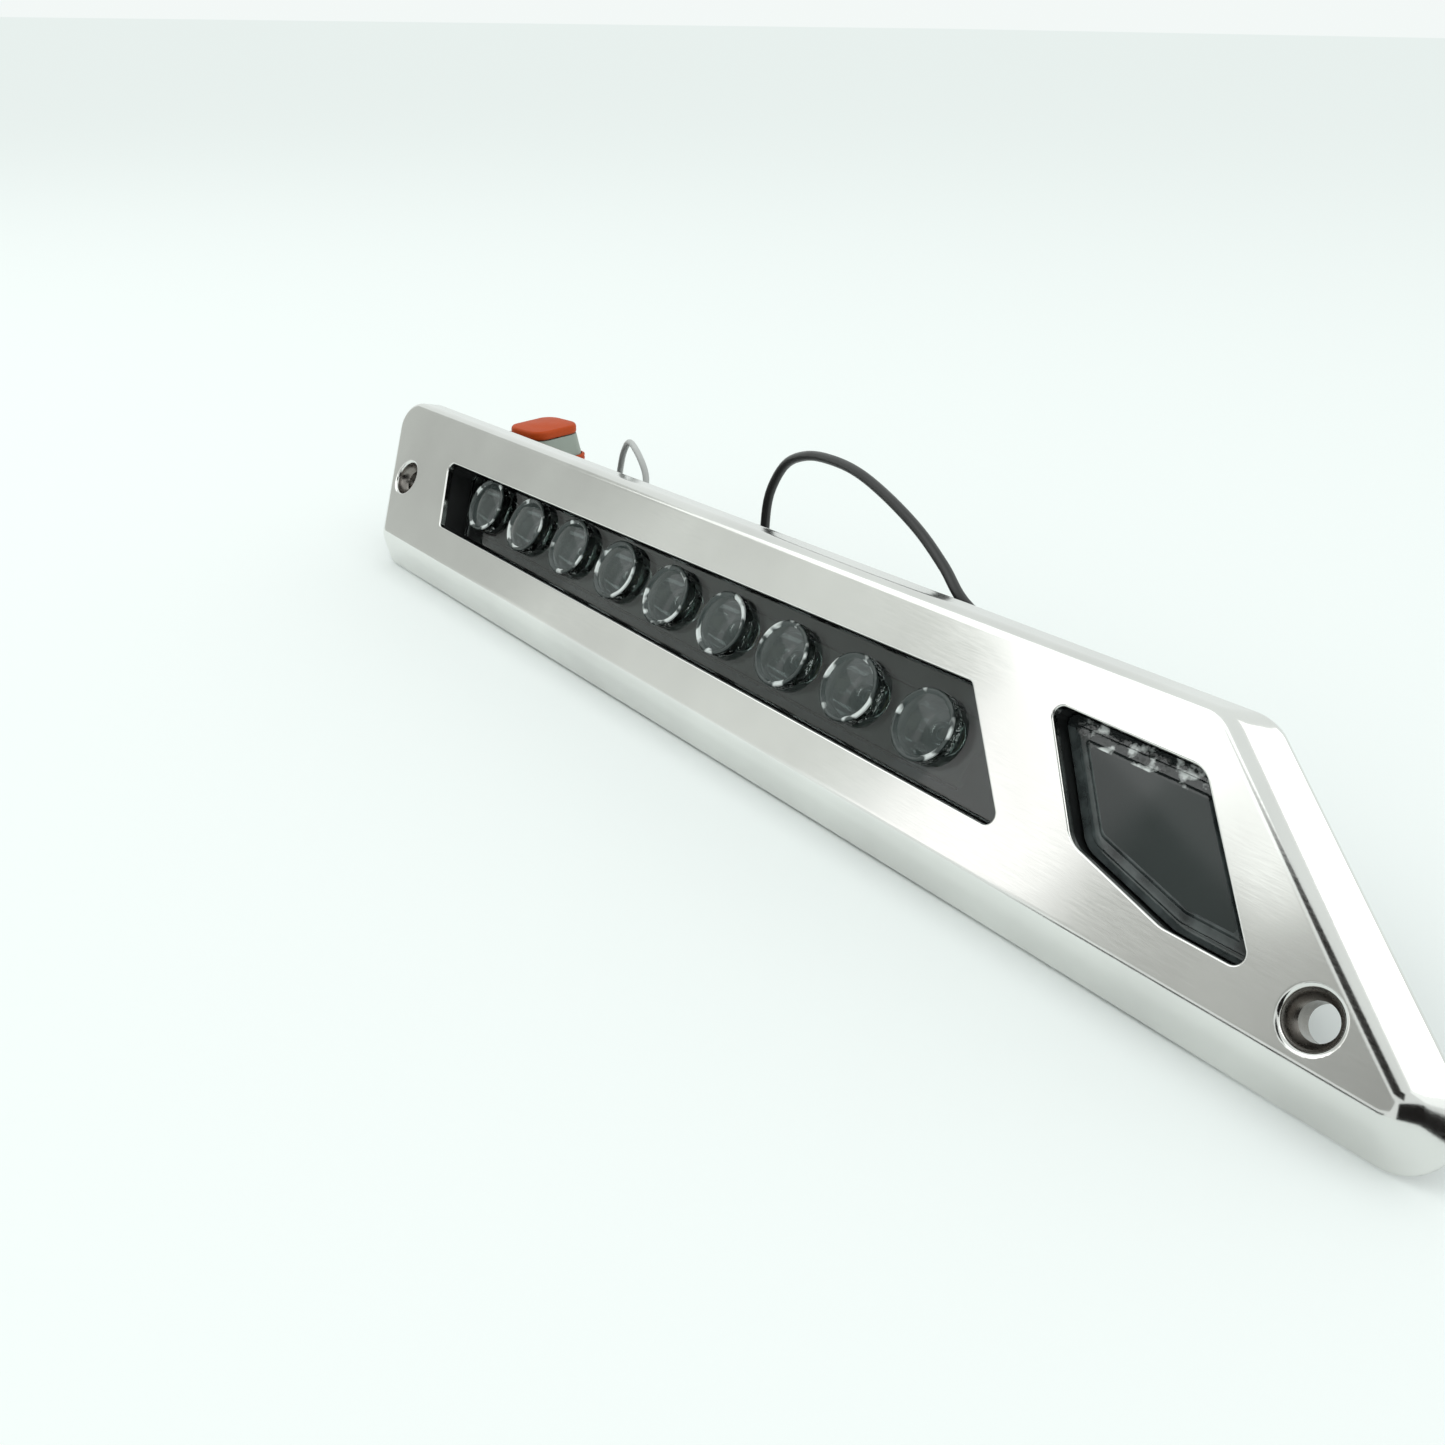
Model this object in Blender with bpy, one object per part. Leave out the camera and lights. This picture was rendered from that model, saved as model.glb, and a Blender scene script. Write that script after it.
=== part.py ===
"""Flush-mount navigation light for a boat's side, combined with a row of docking lamps.

A polished stainless bezel covers one moulded housing with two sealed pockets. The long pocket
holds nine docking lamps behind a one-piece lens, and the five-sided pocket holds the
navigation lamp. Two leads end in one sealed plug, whose latch is the only moving piece.

Plate coordinates: x runs along the bezel's lower edge towards its pointed end, y runs up the
plate, and z points out of its face, with z = 0 on the rim that meets the hull. The light lies
as it does on a bench, on the bezel's lower edge and on the lowest fin of its heat sink.
Dimensions are in millimetres until MM scales them. The scene is in metres, with +Z up.
"""
import math

import bmesh
import bpy
from mathutils import Matrix, Vector

MM = 0.001
GAP = 0.3                   # air between two pieces that touch

# Bezel
TOP_AT_ORIGIN = 45.4        # y of the rim's top edge at x = 0
TOP_RISE = 0.0205           # the plate widens slowly towards its pointed end
LEFT_AT_ORIGIN = -153.4     # x of the rim's left edge at y = 0
LEFT_SLANT = -0.54          # change in x for each step in y along the left edge
RIGHT_AT_ORIGIN = 150.3
RIGHT_SLANT = -1.292
FACE_HEIGHT = 6.5
FLANKS = (5.6, 5.0, 3.3, 4.8)       # how far the lower, right, upper and left flanks lean in
LIP = 0.8
SHEET = 1.5
RIM_WIDTH = 2.2
CREASE = 1.3                # width of the rounding between flank and face
RIM_RADII = (8.0, 7.5, 9.5, 9.5)        # lower left, tip, upper right, upper left

# Lamp windows in the face
DOCK_LOWER_LEFT = (-127.0, 14.4)
DOCK_LOWER_RIGHT = (59.7, 14.4)
DOCK_UPPER_RIGHT = (41.9, 34.0)
DOCK_UPPER_LEFT = (-135.6, 29.6)
DOCK_RADIUS = 1.6
NAV_WINDOW = (
    (91.0, 13.8, 6.0),
    (105.6, 13.9, 1.6),
    (86.0, 36.5, 4.5),
    (57.3, 36.4, 1.5),
    (72.0, 18.4, 6.0),
)

# Countersunk screw holes through the face
LEFT_HOLE = (-151.6, 21.2)
RIGHT_HOLE = (115.3, 12.7)
HOLE_RADIUS = 2.8
SINK_RADIUS = 4.3
BOSS_RADIUS = 5.0

# Housing
FLANGE_INSET = 5.9
FLANGE_BACK = 2.0
WALL = 3.4
PAN_BACK = -5.5
HOUSING_BACK = -10.8
DOCK_BOX = (-131.0, 50.0, 11.2, 34.6)       # lowest x, highest x, lowest y, highest y
DOCK_WELL = (-126.2, 43.4, 16.4, 29.2)
DOCK_LEDGE = -4.2
NAV_LEDGE = -2.2
NAV_LEDGE_WIDTH = 1.6
NAV_LENS_LOW = -0.8
NAV_LENS_STEP = 2.2         # height of the step round the pad
NAV_LENS_TOP = 3.0
NAV_STEP_WIDTHS = (3.3, 1.6, 3.3, 3.3, 3.3)     # the step is narrow on the pointed end's side
NAV_PAD_DRAFT = 0.4

# Lamps
LAMP_COUNT = 9
LAMP_PITCH = 19.1
LAMP_MIDDLE = -43.9
LAMP_Y = 24.0
LAMP_TOP_RADIUS = 6.6
LAMP_TOP = 1.6
LAMP_CROWN = 0.9
LENS_LIFT = 1.3             # from the housing's ledge to the back of the lens plate
LENS_THICK = 2.0
LENS_TRIM = 0.15            # from the window's edge to the trimmed collimators
CONE_RADIUS = 4.9
CONE_END_RADIUS = 3.6
CONE_END = -7.6
LED_SIZE = 3.5

# Backs of the two pockets
BACK_SEAL = 0.6
BOARD_THICK = 1.6
SINK_FRONT = -12.0
SINK_BACK = -14.4
FIN_BACK = -17.6
FIN_LOW = 11.0
FIN_COUNT = 6
FIN_THICK = 1.7
FIN_SPAN = (-122.0, 44.0)
FIN_ROOT = 1.0              # how deep the fins' common root sits in the plate
SCREW_RADIUS = 1.1
SCREW_HOLE = 1.4
HEAD_RADIUS = 2.2
HEAD_HEIGHT = 1.6
SCREW_DEPTH = 4.5           # of the blind holes in the housing
DOCK_SCREWS = ((-128.6, 14.0), (46.8, 14.0), (46.8, 31.8), (-128.6, 31.8))
NAV_SCREWS = ((97.0, 12.9), (62.5, 37.9))

# Glands
GLAND_HOLE = 1.9
GLAND_HEAD = 2.7
DOCK_GLAND = (-77.5, 34.6, -8.6)
DOCK_GLAND_REACH = 5.0
NAV_GLAND = (70.0, 28.0)
NAV_GLAND_REACH = 4.4
COVER_BACK = SINK_BACK + 0.4

# Plug, in its own frame: x across its thin side, y across its wide side, z along its axis
PLUG_PLACE = (-141.1, 41.0)
PLUG_TURN = math.radians(12.0)
BODY_SIZE = (16.0, 19.5)
BODY_RADIUS = 4.2
BODY_FOOT = 12.0
BODY_TOP = 21.7
NOSE_SIZE = (13.8, 17.2)
NOSE_TIP_SIZE = (12.4, 15.6)
NOSE_TOP = 30.0
PLUG_TOP = 32.5
BOOT_SIZE = (15.0, 18.0)
LEAD_EXIT_Z = 2.6
LEAD_EXIT_Y = 3.5
COLLAR_REACH = 3.0
LATCH_AXIS = (-10.3, 18.0)
LATCH_PIN_RADIUS = 0.75
LATCH_HALF_WIDTH = 4.0
LATCH_HUB_RADIUS = 1.75
LATCH_BORE_GAP = 0.2
EAR_MIDDLE = 5.6            # from the plug's axis to the middle of each hinge ear
EAR_THICK = 1.6

# Leads, in bench coordinates: the lower rim edge lies along the X axis
BLACK_DIAMETER = 2.1
GREY_DIAMETER = 1.5

ARC_STEPS = 5
ROUND_SIDES = 24
LEAN = math.atan2(FIN_LOW, -FIN_BACK)


# ---------------------------------------------------------------- helpers

def material(name, colour, roughness, metallic=0.0):
    """A Principled material, made once for each name."""
    found = bpy.data.materials.get(name)
    if found:
        return found
    made = bpy.data.materials.new(name)
    made.use_nodes = True
    shader = made.node_tree.nodes["Principled BSDF"]
    shader.inputs["Base Color"].default_value = (*colour, 1.0)
    shader.inputs["Roughness"].default_value = roughness
    shader.inputs["Metallic"].default_value = metallic
    return made


def line_crossing(point_a, along_a, point_b, along_b):
    """Where two lines in the plane cross."""
    turn = along_a.x * along_b.y - along_a.y * along_b.x
    offset = point_b - point_a
    step = (offset.x * along_b.y - offset.y * along_b.x) / turn
    return point_a + along_a * step


def inset(corners, distance, least=0.4):
    """Move the sides of an anticlockwise outline inwards, or outwards if negative.

    The distance is one number, or one for each side from the first corner on.
    """
    points = [Vector(corner[:2]) for corner in corners]
    count = len(points)
    steps = distance if isinstance(distance, list) else [distance] * count
    sides = []
    for index, point in enumerate(points):
        along = (points[(index + 1) % count] - point).normalized()
        inward = Vector((-along.y, along.x))
        sides.append((point + inward * steps[index], along))
    moved = []
    for index, corner in enumerate(corners):
        place = line_crossing(*sides[index - 1], *sides[index])
        moved.append((place.x, place.y, max(corner[2] - steps[index], least)))
    return moved


def outline(corners, steps=ARC_STEPS):
    """Points round an outline whose corners are arcs, each of steps chords."""
    points = [Vector(corner[:2]) for corner in corners]
    count = len(points)
    ring = []
    for index, corner in enumerate(points):
        back = (points[index - 1] - corner).normalized()
        ahead = (points[(index + 1) % count] - corner).normalized()
        half = back.angle(ahead) / 2
        radius = corners[index][2]
        middle = corner + (back + ahead).normalized() * (radius / math.sin(half))
        first = corner + back * (radius / math.tan(half)) - middle
        sweep = math.pi - 2 * half
        for step in range(steps + 1):
            turn = Matrix.Rotation(sweep * step / steps, 2)
            ring.append(middle + turn @ first)
    return ring


def box_corners(low_x, high_x, low_y, high_y, radius):
    """The corners of an upright rounded rectangle."""
    return [
        (low_x, low_y, radius),
        (high_x, low_y, radius),
        (high_x, high_y, radius),
        (low_x, high_y, radius),
    ]


def centred(size, radius):
    """The corners of a rounded rectangle about the origin."""
    return box_corners(-size[0] / 2, size[0] / 2, -size[1] / 2, size[1] / 2, radius)


def circle(centre, radius, sides=ROUND_SIDES):
    """Points round a circle."""
    ring = []
    for index in range(sides):
        angle = 2 * math.pi * index / sides
        ring.append(Vector((centre[0] + radius * math.cos(angle), centre[1] + radius * math.sin(angle))))
    return ring


def finish(name, mesh_data, paint, parent):
    """Turn a bmesh in millimetres into a shaded object under its parent."""
    bmesh.ops.scale(mesh_data, vec=(MM, MM, MM), verts=mesh_data.verts)
    mesh = bpy.data.meshes.new(name)
    mesh_data.to_mesh(mesh)
    mesh_data.free()
    mesh.shade_smooth()
    mesh.set_sharp_from_angle(angle=math.radians(30))
    mesh.materials.append(paint)
    made = bpy.data.objects.new(name, mesh)
    bpy.context.scene.collection.objects.link(made)
    made.parent = parent
    return made


def loft(name, rings, paint, parent, closed=False, axis="z"):
    """Skin a stack of equal rings, capped at both ends or closed into a tube."""
    mesh_data = bmesh.new()
    stack = []
    for ring, height in rings:
        if axis == "x":
            stack.append([mesh_data.verts.new((height, point.x, point.y)) for point in ring])
        elif axis == "y":
            stack.append([mesh_data.verts.new((point.y, height, point.x)) for point in ring])
        else:
            stack.append([mesh_data.verts.new((point.x, point.y, height)) for point in ring])
    pairs = list(zip(stack, stack[1:]))
    if closed:
        pairs.append((stack[-1], stack[0]))
    for lower, upper in pairs:
        count = len(lower)
        for index in range(count):
            ahead = (index + 1) % count
            mesh_data.faces.new((lower[index], lower[ahead], upper[ahead], upper[index]))
    if not closed:
        mesh_data.faces.new(reversed(stack[0]))
        mesh_data.faces.new(stack[-1])
    bmesh.ops.recalc_face_normals(mesh_data, faces=mesh_data.faces)
    return finish(name, mesh_data, paint, parent)


def prism(name, corners, low, high, paint, parent, axis="z"):
    """A straight block with a rounded outline."""
    ring = outline(corners)
    return loft(name, [(ring, low), (ring, high)], paint, parent, axis=axis)


def turned(name, centre, profile, paint, parent, axis="z", sides=ROUND_SIDES):
    """A solid of revolution from (radius, height) pairs, flat at both ends."""
    rings = [(circle(centre, radius, sides), height) for radius, height in profile]
    return loft(name, rings, paint, parent, axis=axis)


def band(name, outer, inner, low, high, paint, parent):
    """A flat ring between two outlines with the same number of corners."""
    outside = outline(outer)
    inside = outline(inner)
    rings = [(outside, low), (outside, high), (inside, high), (inside, low)]
    return loft(name, rings, paint, parent, closed=True)


def boolean(target, tool, operation="DIFFERENCE"):
    """Cut or join with a helper object that isn't part of the light."""
    tool.hide_render = True
    tool.display_type = "WIRE"
    step = target.modifiers.new(tool.name, "BOOLEAN")
    step.operation = operation
    step.solver = "EXACT"
    step.object = tool


def empty(name, parent, location=(0.0, 0.0, 0.0), rotation=(0.0, 0.0, 0.0)):
    """A frame that pieces are placed in."""
    made = bpy.data.objects.new(name, None)
    bpy.context.scene.collection.objects.link(made)
    made.parent = parent
    made.location = Vector(location) * MM
    made.rotation_euler = rotation
    return made


# ---------------------------------------------------------------- outlines

def rim_corners():
    """The bezel's outline where it meets the hull, anticlockwise from its lower left."""
    left_low = Vector((LEFT_AT_ORIGIN, 0.0))
    right_low = Vector((RIGHT_AT_ORIGIN, 0.0))
    left_run = Vector((LEFT_SLANT, 1.0))
    right_run = Vector((RIGHT_SLANT, 1.0))
    top_low = Vector((0.0, TOP_AT_ORIGIN))
    top_run = Vector((1.0, TOP_RISE))
    right_high = line_crossing(right_low, right_run, top_low, top_run)
    left_high = line_crossing(left_low, left_run, top_low, top_run)
    places = (left_low, right_low, right_high, left_high)
    return [(place.x, place.y, radius) for place, radius in zip(places, RIM_RADII)]


def dock_corners():
    """The long window over the docking lamps."""
    places = (DOCK_LOWER_LEFT, DOCK_LOWER_RIGHT, DOCK_UPPER_RIGHT, DOCK_UPPER_LEFT)
    return [(*place, DOCK_RADIUS) for place in places]


def lamp_centres():
    """The middle of each docking lamp."""
    first = LAMP_MIDDLE - LAMP_PITCH * (LAMP_COUNT - 1) / 2
    return [(first + LAMP_PITCH * index, LAMP_Y) for index in range(LAMP_COUNT)]


RIM = rim_corners()
DOCK = dock_corners()
NAV = list(NAV_WINDOW)


# ---------------------------------------------------------------- bezel and housing

def make_bezel(plate):
    """Formed stainless cover: a shallow hollow tray with two windows and two screw holes."""
    steel = material("polished_stainless", (0.72, 0.72, 0.70), 0.08, 1.0)
    cutter = material("cutter", (1.0, 0.3, 0.1), 0.5)
    height = FACE_HEIGHT - SHEET
    rounding = CREASE * 0.3
    cavity = [RIM_WIDTH + (flank - CREASE) * height / FACE_HEIGHT for flank in FLANKS]
    rings = [
        (outline(inset(RIM, cavity)), height),
        (outline(inset(RIM, RIM_WIDTH)), 0.0),
        (outline(RIM), 0.0),
        (outline(inset(RIM, 0.1)), LIP),
        (outline(inset(RIM, [flank - CREASE for flank in FLANKS])), FACE_HEIGHT - CREASE),
        (outline(inset(RIM, [flank - rounding for flank in FLANKS])), FACE_HEIGHT - rounding),
        (outline(inset(RIM, [flank + rounding for flank in FLANKS])), FACE_HEIGHT),
    ]
    bezel = loft("bezel", rings, steel, plate)
    boolean(bezel, prism("dock_window_cut", DOCK, height - 1, FACE_HEIGHT + 1, cutter, plate))
    boolean(bezel, prism("nav_window_cut", NAV, height - 1, FACE_HEIGHT + 1, cutter, plate))
    for name, hole in (("left", LEFT_HOLE), ("right", RIGHT_HOLE)):
        boss = [(BOSS_RADIUS, 0.0), (BOSS_RADIUS, height + SHEET / 2)]
        boolean(bezel, turned(name + "_boss", hole, boss, cutter, plate), "UNION")
        depth = SINK_RADIUS - HOLE_RADIUS
        drill = [
            (HOLE_RADIUS, -1.0),
            (HOLE_RADIUS, FACE_HEIGHT - depth),
            (SINK_RADIUS, FACE_HEIGHT),
            (SINK_RADIUS, FACE_HEIGHT + 1),
        ]
        boolean(bezel, turned(name + "_drill", hole, drill, cutter, plate))
    return bezel


def make_housing(plate):
    """One moulding: a flange behind the bezel's face and a pocket behind each window."""
    plastic = material("black_housing", (0.02, 0.022, 0.022), 0.5)
    top = FACE_HEIGHT - SHEET - GAP
    housing = prism("rear_housing", inset(RIM, FLANGE_INSET), FLANGE_BACK, top, plastic, plate)
    inner = FLANGE_BACK + 0.4
    adds = (
        ("dock_pan", inset(DOCK, -WALL), PAN_BACK, inner),
        ("dock_box", box_corners(*DOCK_BOX, 3.0), HOUSING_BACK, inner - 1),
        ("nav_box", inset(NAV, -WALL), HOUSING_BACK, inner + 0.5),
    )
    for name, corners, low, high in adds:
        boolean(housing, prism(name, corners, low, high, plastic, plate), "UNION")
    cuts = (
        ("dock_seat", inset(DOCK, -GAP), DOCK_LEDGE, top + 1),
        ("dock_well", box_corners(*DOCK_WELL, 2.0), HOUSING_BACK - 1, DOCK_LEDGE + 1),
        ("nav_seat", inset(NAV, -GAP), NAV_LEDGE, top + 1.5),
        ("nav_well", inset(NAV, NAV_LEDGE_WIDTH), HOUSING_BACK - 1.5, NAV_LEDGE + 1),
    )
    for name, corners, low, high in cuts:
        boolean(housing, prism(name, corners, low, high, plastic, plate))
    clearance = [(BOSS_RADIUS + 0.8, FLANGE_BACK - 1), (BOSS_RADIUS + 0.8, top + 1)]
    for name, hole in (("left", LEFT_HOLE), ("right", RIGHT_HOLE)):
        boolean(housing, turned(name + "_clearance", hole, clearance, plastic, plate))
    for index, place in enumerate(DOCK_SCREWS + NAV_SCREWS):
        drill = [(SCREW_HOLE, HOUSING_BACK - 1), (SCREW_HOLE, HOUSING_BACK + SCREW_DEPTH)]
        boolean(housing, turned(f"blind_hole_{index + 1}", place, drill, plastic, plate, sides=12))
    x, y, z = DOCK_GLAND
    bore = [(GLAND_HOLE, y - 6), (GLAND_HOLE, y + 1)]
    boolean(housing, turned("gland_bore", (z, x), bore, plastic, plate, axis="y", sides=12))
    return housing


def make_hull_gasket(plate):
    """Closed-cell foam ring that seals the light to the hull."""
    foam = material("black_foam", (0.03, 0.03, 0.03), 0.9)
    gasket = band("hull_gasket", inset(RIM, 3.5), inset(RIM, 6.0), -GAP, FLANGE_BACK - GAP, foam, plate)
    clearance = [(BOSS_RADIUS + 1.1, -1.0), (BOSS_RADIUS + 1.1, FLANGE_BACK + 1)]
    for name, hole in (("left", LEFT_HOLE), ("right", RIGHT_HOLE)):
        boolean(gasket, turned(name + "_gasket_cut", hole, clearance, foam, plate))
    return gasket


# ---------------------------------------------------------------- docking lamps

def make_dock_lens(plate):
    """One clear plate with a round collimator in front of each lamp.

    The collimators are trimmed to the window, because the tallest just reach its upper edge.
    """
    clear = material("clear_lens", (0.85, 0.9, 0.9), 0.05)
    back = DOCK_LEDGE + LENS_LIFT
    front = back + LENS_THICK
    profile = [
        (CONE_END_RADIUS, CONE_END),
        (CONE_RADIUS, back - 0.5),
        (CONE_RADIUS, back + 0.5),
        (LAMP_TOP_RADIUS, front - 0.5),
        (LAMP_TOP_RADIUS - 0.2, LAMP_TOP),
        (LAMP_TOP_RADIUS * 0.6, LAMP_TOP + LAMP_CROWN),
    ]
    centres = lamp_centres()
    lens = turned("dock_lens", centres[0], profile, clear, plate)
    for index, centre in enumerate(centres[1:]):
        boolean(lens, turned(f"collimator_{index + 2}", centre, profile, clear, plate), "UNION")
    window = prism("lens_trim", inset(DOCK, LENS_TRIM), CONE_END - 1, FACE_HEIGHT, clear, plate)
    boolean(lens, window, "INTERSECT")
    boolean(lens, prism("lens_plate", DOCK, back, front, clear, plate), "UNION")
    return lens


def make_dock_inside(plate):
    """The lens seal, the lamp board, the lamps and their driver chip."""
    rubber = material("seal_rubber", (0.03, 0.03, 0.03), 0.7)
    band("dock_lens_gasket", DOCK, box_corners(*DOCK_WELL, 2.0), DOCK_LEDGE + GAP, DOCK_LEDGE + 1.0,
         rubber, plate)
    board_green = material("dark_board", (0.03, 0.05, 0.045), 0.45)
    low_x, high_x, low_y, high_y = DOCK_WELL
    edges = box_corners(low_x + GAP, high_x - GAP, low_y + GAP, high_y - GAP, 1.6)
    board_top = SINK_FRONT + GAP + BOARD_THICK
    prism("dock_board", edges, SINK_FRONT + GAP, board_top, board_green, plate)
    lamp = material("led_package", (0.85, 0.82, 0.55), 0.35)
    for index, (x, y) in enumerate(lamp_centres()):
        half = LED_SIZE / 2
        foot = outline(box_corners(x - half, x + half, y - half, y + half, 0.5), 2)
        dome = outline(box_corners(x - 1.2, x + 1.2, y - 1.2, y + 1.2, 0.9), 2)
        low = board_top + GAP
        rings = [(foot, low), (foot, low + 0.8), (dome, low + 1.4)]
        loft(f"dock_led_{index + 1}", rings, lamp, plate)
    chip = material("chip_black", (0.02, 0.02, 0.02), 0.5)
    body = box_corners(38.2, 42.2, 18.0, 23.0, 0.3)
    prism("driver_chip", body, board_top + GAP, board_top + 1.4, chip, plate)


def screw(name, place, seat, reach, plate):
    """A pan-head screw driven forwards from behind the light."""
    steel = material("screw_steel", (0.6, 0.6, 0.6), 0.3, 1.0)
    profile = [
        (HEAD_RADIUS * 0.75, seat - HEAD_HEIGHT),
        (HEAD_RADIUS, seat - HEAD_HEIGHT * 0.55),
        (HEAD_RADIUS, seat),
        (SCREW_RADIUS, seat),
        (SCREW_RADIUS, reach),
    ]
    return turned(name, place, profile, steel, plate, sides=12)


def make_heat_sink(plate):
    """Finned aluminium back of the docking pocket, its seal and its four screws."""
    metal = material("black_anodised", (0.03, 0.03, 0.032), 0.45, 0.6)
    rubber = material("seal_rubber", (0.03, 0.03, 0.03), 0.7)
    sink = prism("heat_sink", box_corners(*DOCK_BOX, 3.0), SINK_BACK, SINK_FRONT, metal, plate)
    top = DOCK_BOX[3]
    pitch = (top - FIN_LOW - FIN_THICK) / (FIN_COUNT - 1)
    root = SINK_BACK + FIN_ROOT
    shoulder = SINK_BACK - 0.2
    comb = [Vector((top - 1.2, root)), Vector((FIN_LOW + 1.2, root))]
    for index in range(FIN_COUNT):
        low = FIN_LOW + pitch * index
        high = low + FIN_THICK
        first = index == 0
        last = index == FIN_COUNT - 1
        comb.append(Vector((low + 1.2 if first else low, shoulder)))
        if first:
            comb.append(Vector((low, shoulder)))
        comb += [Vector((low, FIN_BACK)), Vector((high, FIN_BACK)), Vector((high, shoulder))]
        if last:
            comb.append(Vector((high - 0.5, shoulder)))
    boolean(sink, loft("fins", [(comb, FIN_SPAN[0]), (comb, FIN_SPAN[1])], metal, plate, axis="x"), "UNION")
    seal_low = SINK_FRONT + GAP
    well = box_corners(*DOCK_WELL, 2.0)
    outer = box_corners(*DOCK_BOX, 3.0)
    seal = band("sink_seal", outer, well, seal_low, seal_low + BACK_SEAL, rubber, plate)
    through = [(SCREW_HOLE, SINK_BACK - 1), (SCREW_HOLE, SINK_FRONT + 2)]
    for index, place in enumerate(DOCK_SCREWS):
        drill = turned(f"sink_hole_{index + 1}", place, through, metal, plate, sides=12)
        boolean(sink, drill)
        boolean(seal, drill)
        screw(f"sink_screw_{index + 1}", place, SINK_BACK - GAP, HOUSING_BACK + 4.0, plate)


# ---------------------------------------------------------------- navigation lamp

def make_nav_light(plate):
    """The stepped lens over the navigation lamp, its seal, board, lamps and side screen."""
    smoked = material("nav_lens", (0.12, 0.15, 0.16), 0.04)
    rubber = material("seal_rubber", (0.03, 0.03, 0.03), 0.7)
    pad = outline(inset(NAV, list(NAV_STEP_WIDTHS), 0.8))
    pad_top = outline(inset(NAV, [width + NAV_PAD_DRAFT for width in NAV_STEP_WIDTHS], 0.6))
    edge = outline(NAV)
    rings = [(edge, NAV_LENS_LOW), (edge, NAV_LENS_STEP), (pad, NAV_LENS_STEP),
             (pad_top, NAV_LENS_TOP)]
    loft("nav_lens", rings, smoked, plate)
    inner = inset(NAV, NAV_LEDGE_WIDTH)
    band("nav_lens_gasket", NAV, inner, NAV_LEDGE + GAP, NAV_LEDGE + 1.1, rubber, plate)
    board_green = material("dark_board", (0.03, 0.05, 0.045), 0.45)
    board_low = SINK_FRONT + GAP
    board_top = board_low + BOARD_THICK
    prism("nav_board", inset(NAV, NAV_LEDGE_WIDTH + GAP), board_low, board_top, board_green, plate)
    lamp = material("led_package", (0.85, 0.82, 0.55), 0.35)
    for index, (x, y) in enumerate(((80.0, 27.5), (86.5, 22.5))):
        half = LED_SIZE / 2
        foot = outline(box_corners(x - half, x + half, y - half, y + half, 0.5), 2)
        dome = outline(box_corners(x - 1.2, x + 1.2, y - 1.2, y + 1.2, 0.9), 2)
        rings = [(foot, board_top + GAP), (foot, board_top + 1.1), (dome, board_top + 1.7)]
        loft(f"nav_led_{index + 1}", rings, lamp, plate)
    screen = material("screen_black", (0.012, 0.012, 0.012), 0.7)
    outer = inset(NAV, NAV_LEDGE_WIDTH + 0.5)
    band("nav_screen", outer, inset(outer, 1.2), board_top + GAP, NAV_LEDGE + 1.0, screen, plate)


def make_nav_cover(plate):
    """Back plate of the navigation pocket, its seal and its two screws."""
    plastic = material("black_housing", (0.02, 0.022, 0.022), 0.5)
    rubber = material("seal_rubber", (0.03, 0.03, 0.03), 0.7)
    back = inset(NAV, -WALL)
    cover = prism("nav_cover", back, COVER_BACK, SINK_FRONT, plastic, plate)
    seal_low = SINK_FRONT + GAP
    inner = inset(NAV, NAV_LEDGE_WIDTH)
    seal = band("nav_cover_seal", back, inner, seal_low, seal_low + BACK_SEAL, rubber, plate)
    through = [(SCREW_HOLE, SINK_BACK - 1), (SCREW_HOLE, SINK_FRONT + 2)]
    for index, place in enumerate(NAV_SCREWS):
        drill = turned(f"cover_hole_{index + 1}", place, through, plastic, plate, sides=12)
        boolean(cover, drill)
        boolean(seal, drill)
        screw(f"nav_screw_{index + 1}", place, COVER_BACK - GAP, HOUSING_BACK + 4.0, plate)
    bore = [(GLAND_HOLE, SINK_BACK - 1), (GLAND_HOLE, SINK_FRONT + 0.6)]
    boolean(cover, turned("nav_gland_bore", NAV_GLAND, bore, plastic, plate, sides=12))


def make_glands(plate):
    """Tapered rubber grommets where the two leads leave the light."""
    rubber = material("gland_rubber", (0.025, 0.025, 0.025), 0.6)
    stem = GLAND_HOLE - GAP
    x, y, z = DOCK_GLAND
    wall = y - DOCK_WELL[3]
    profile = [
        (stem, y - wall),
        (stem, y + GAP),
        (GLAND_HEAD, y + GAP),
        (GLAND_HEAD, y + 1.6),
        (2.0, y + 1.9),
        (1.4, y + DOCK_GLAND_REACH),
    ]
    turned("dock_gland", (z, x), profile, rubber, plate, axis="y", sides=16)
    back = COVER_BACK
    profile = [
        (1.6, back - NAV_GLAND_REACH),
        (2.1, back - 1.9),
        (GLAND_HEAD, back - 1.6),
        (GLAND_HEAD, back - GAP),
        (stem, back - GAP),
        (stem, SINK_FRONT - 0.1),
    ]
    turned("nav_gland", NAV_GLAND, profile, rubber, plate, sides=16)


# ---------------------------------------------------------------- plug

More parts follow.
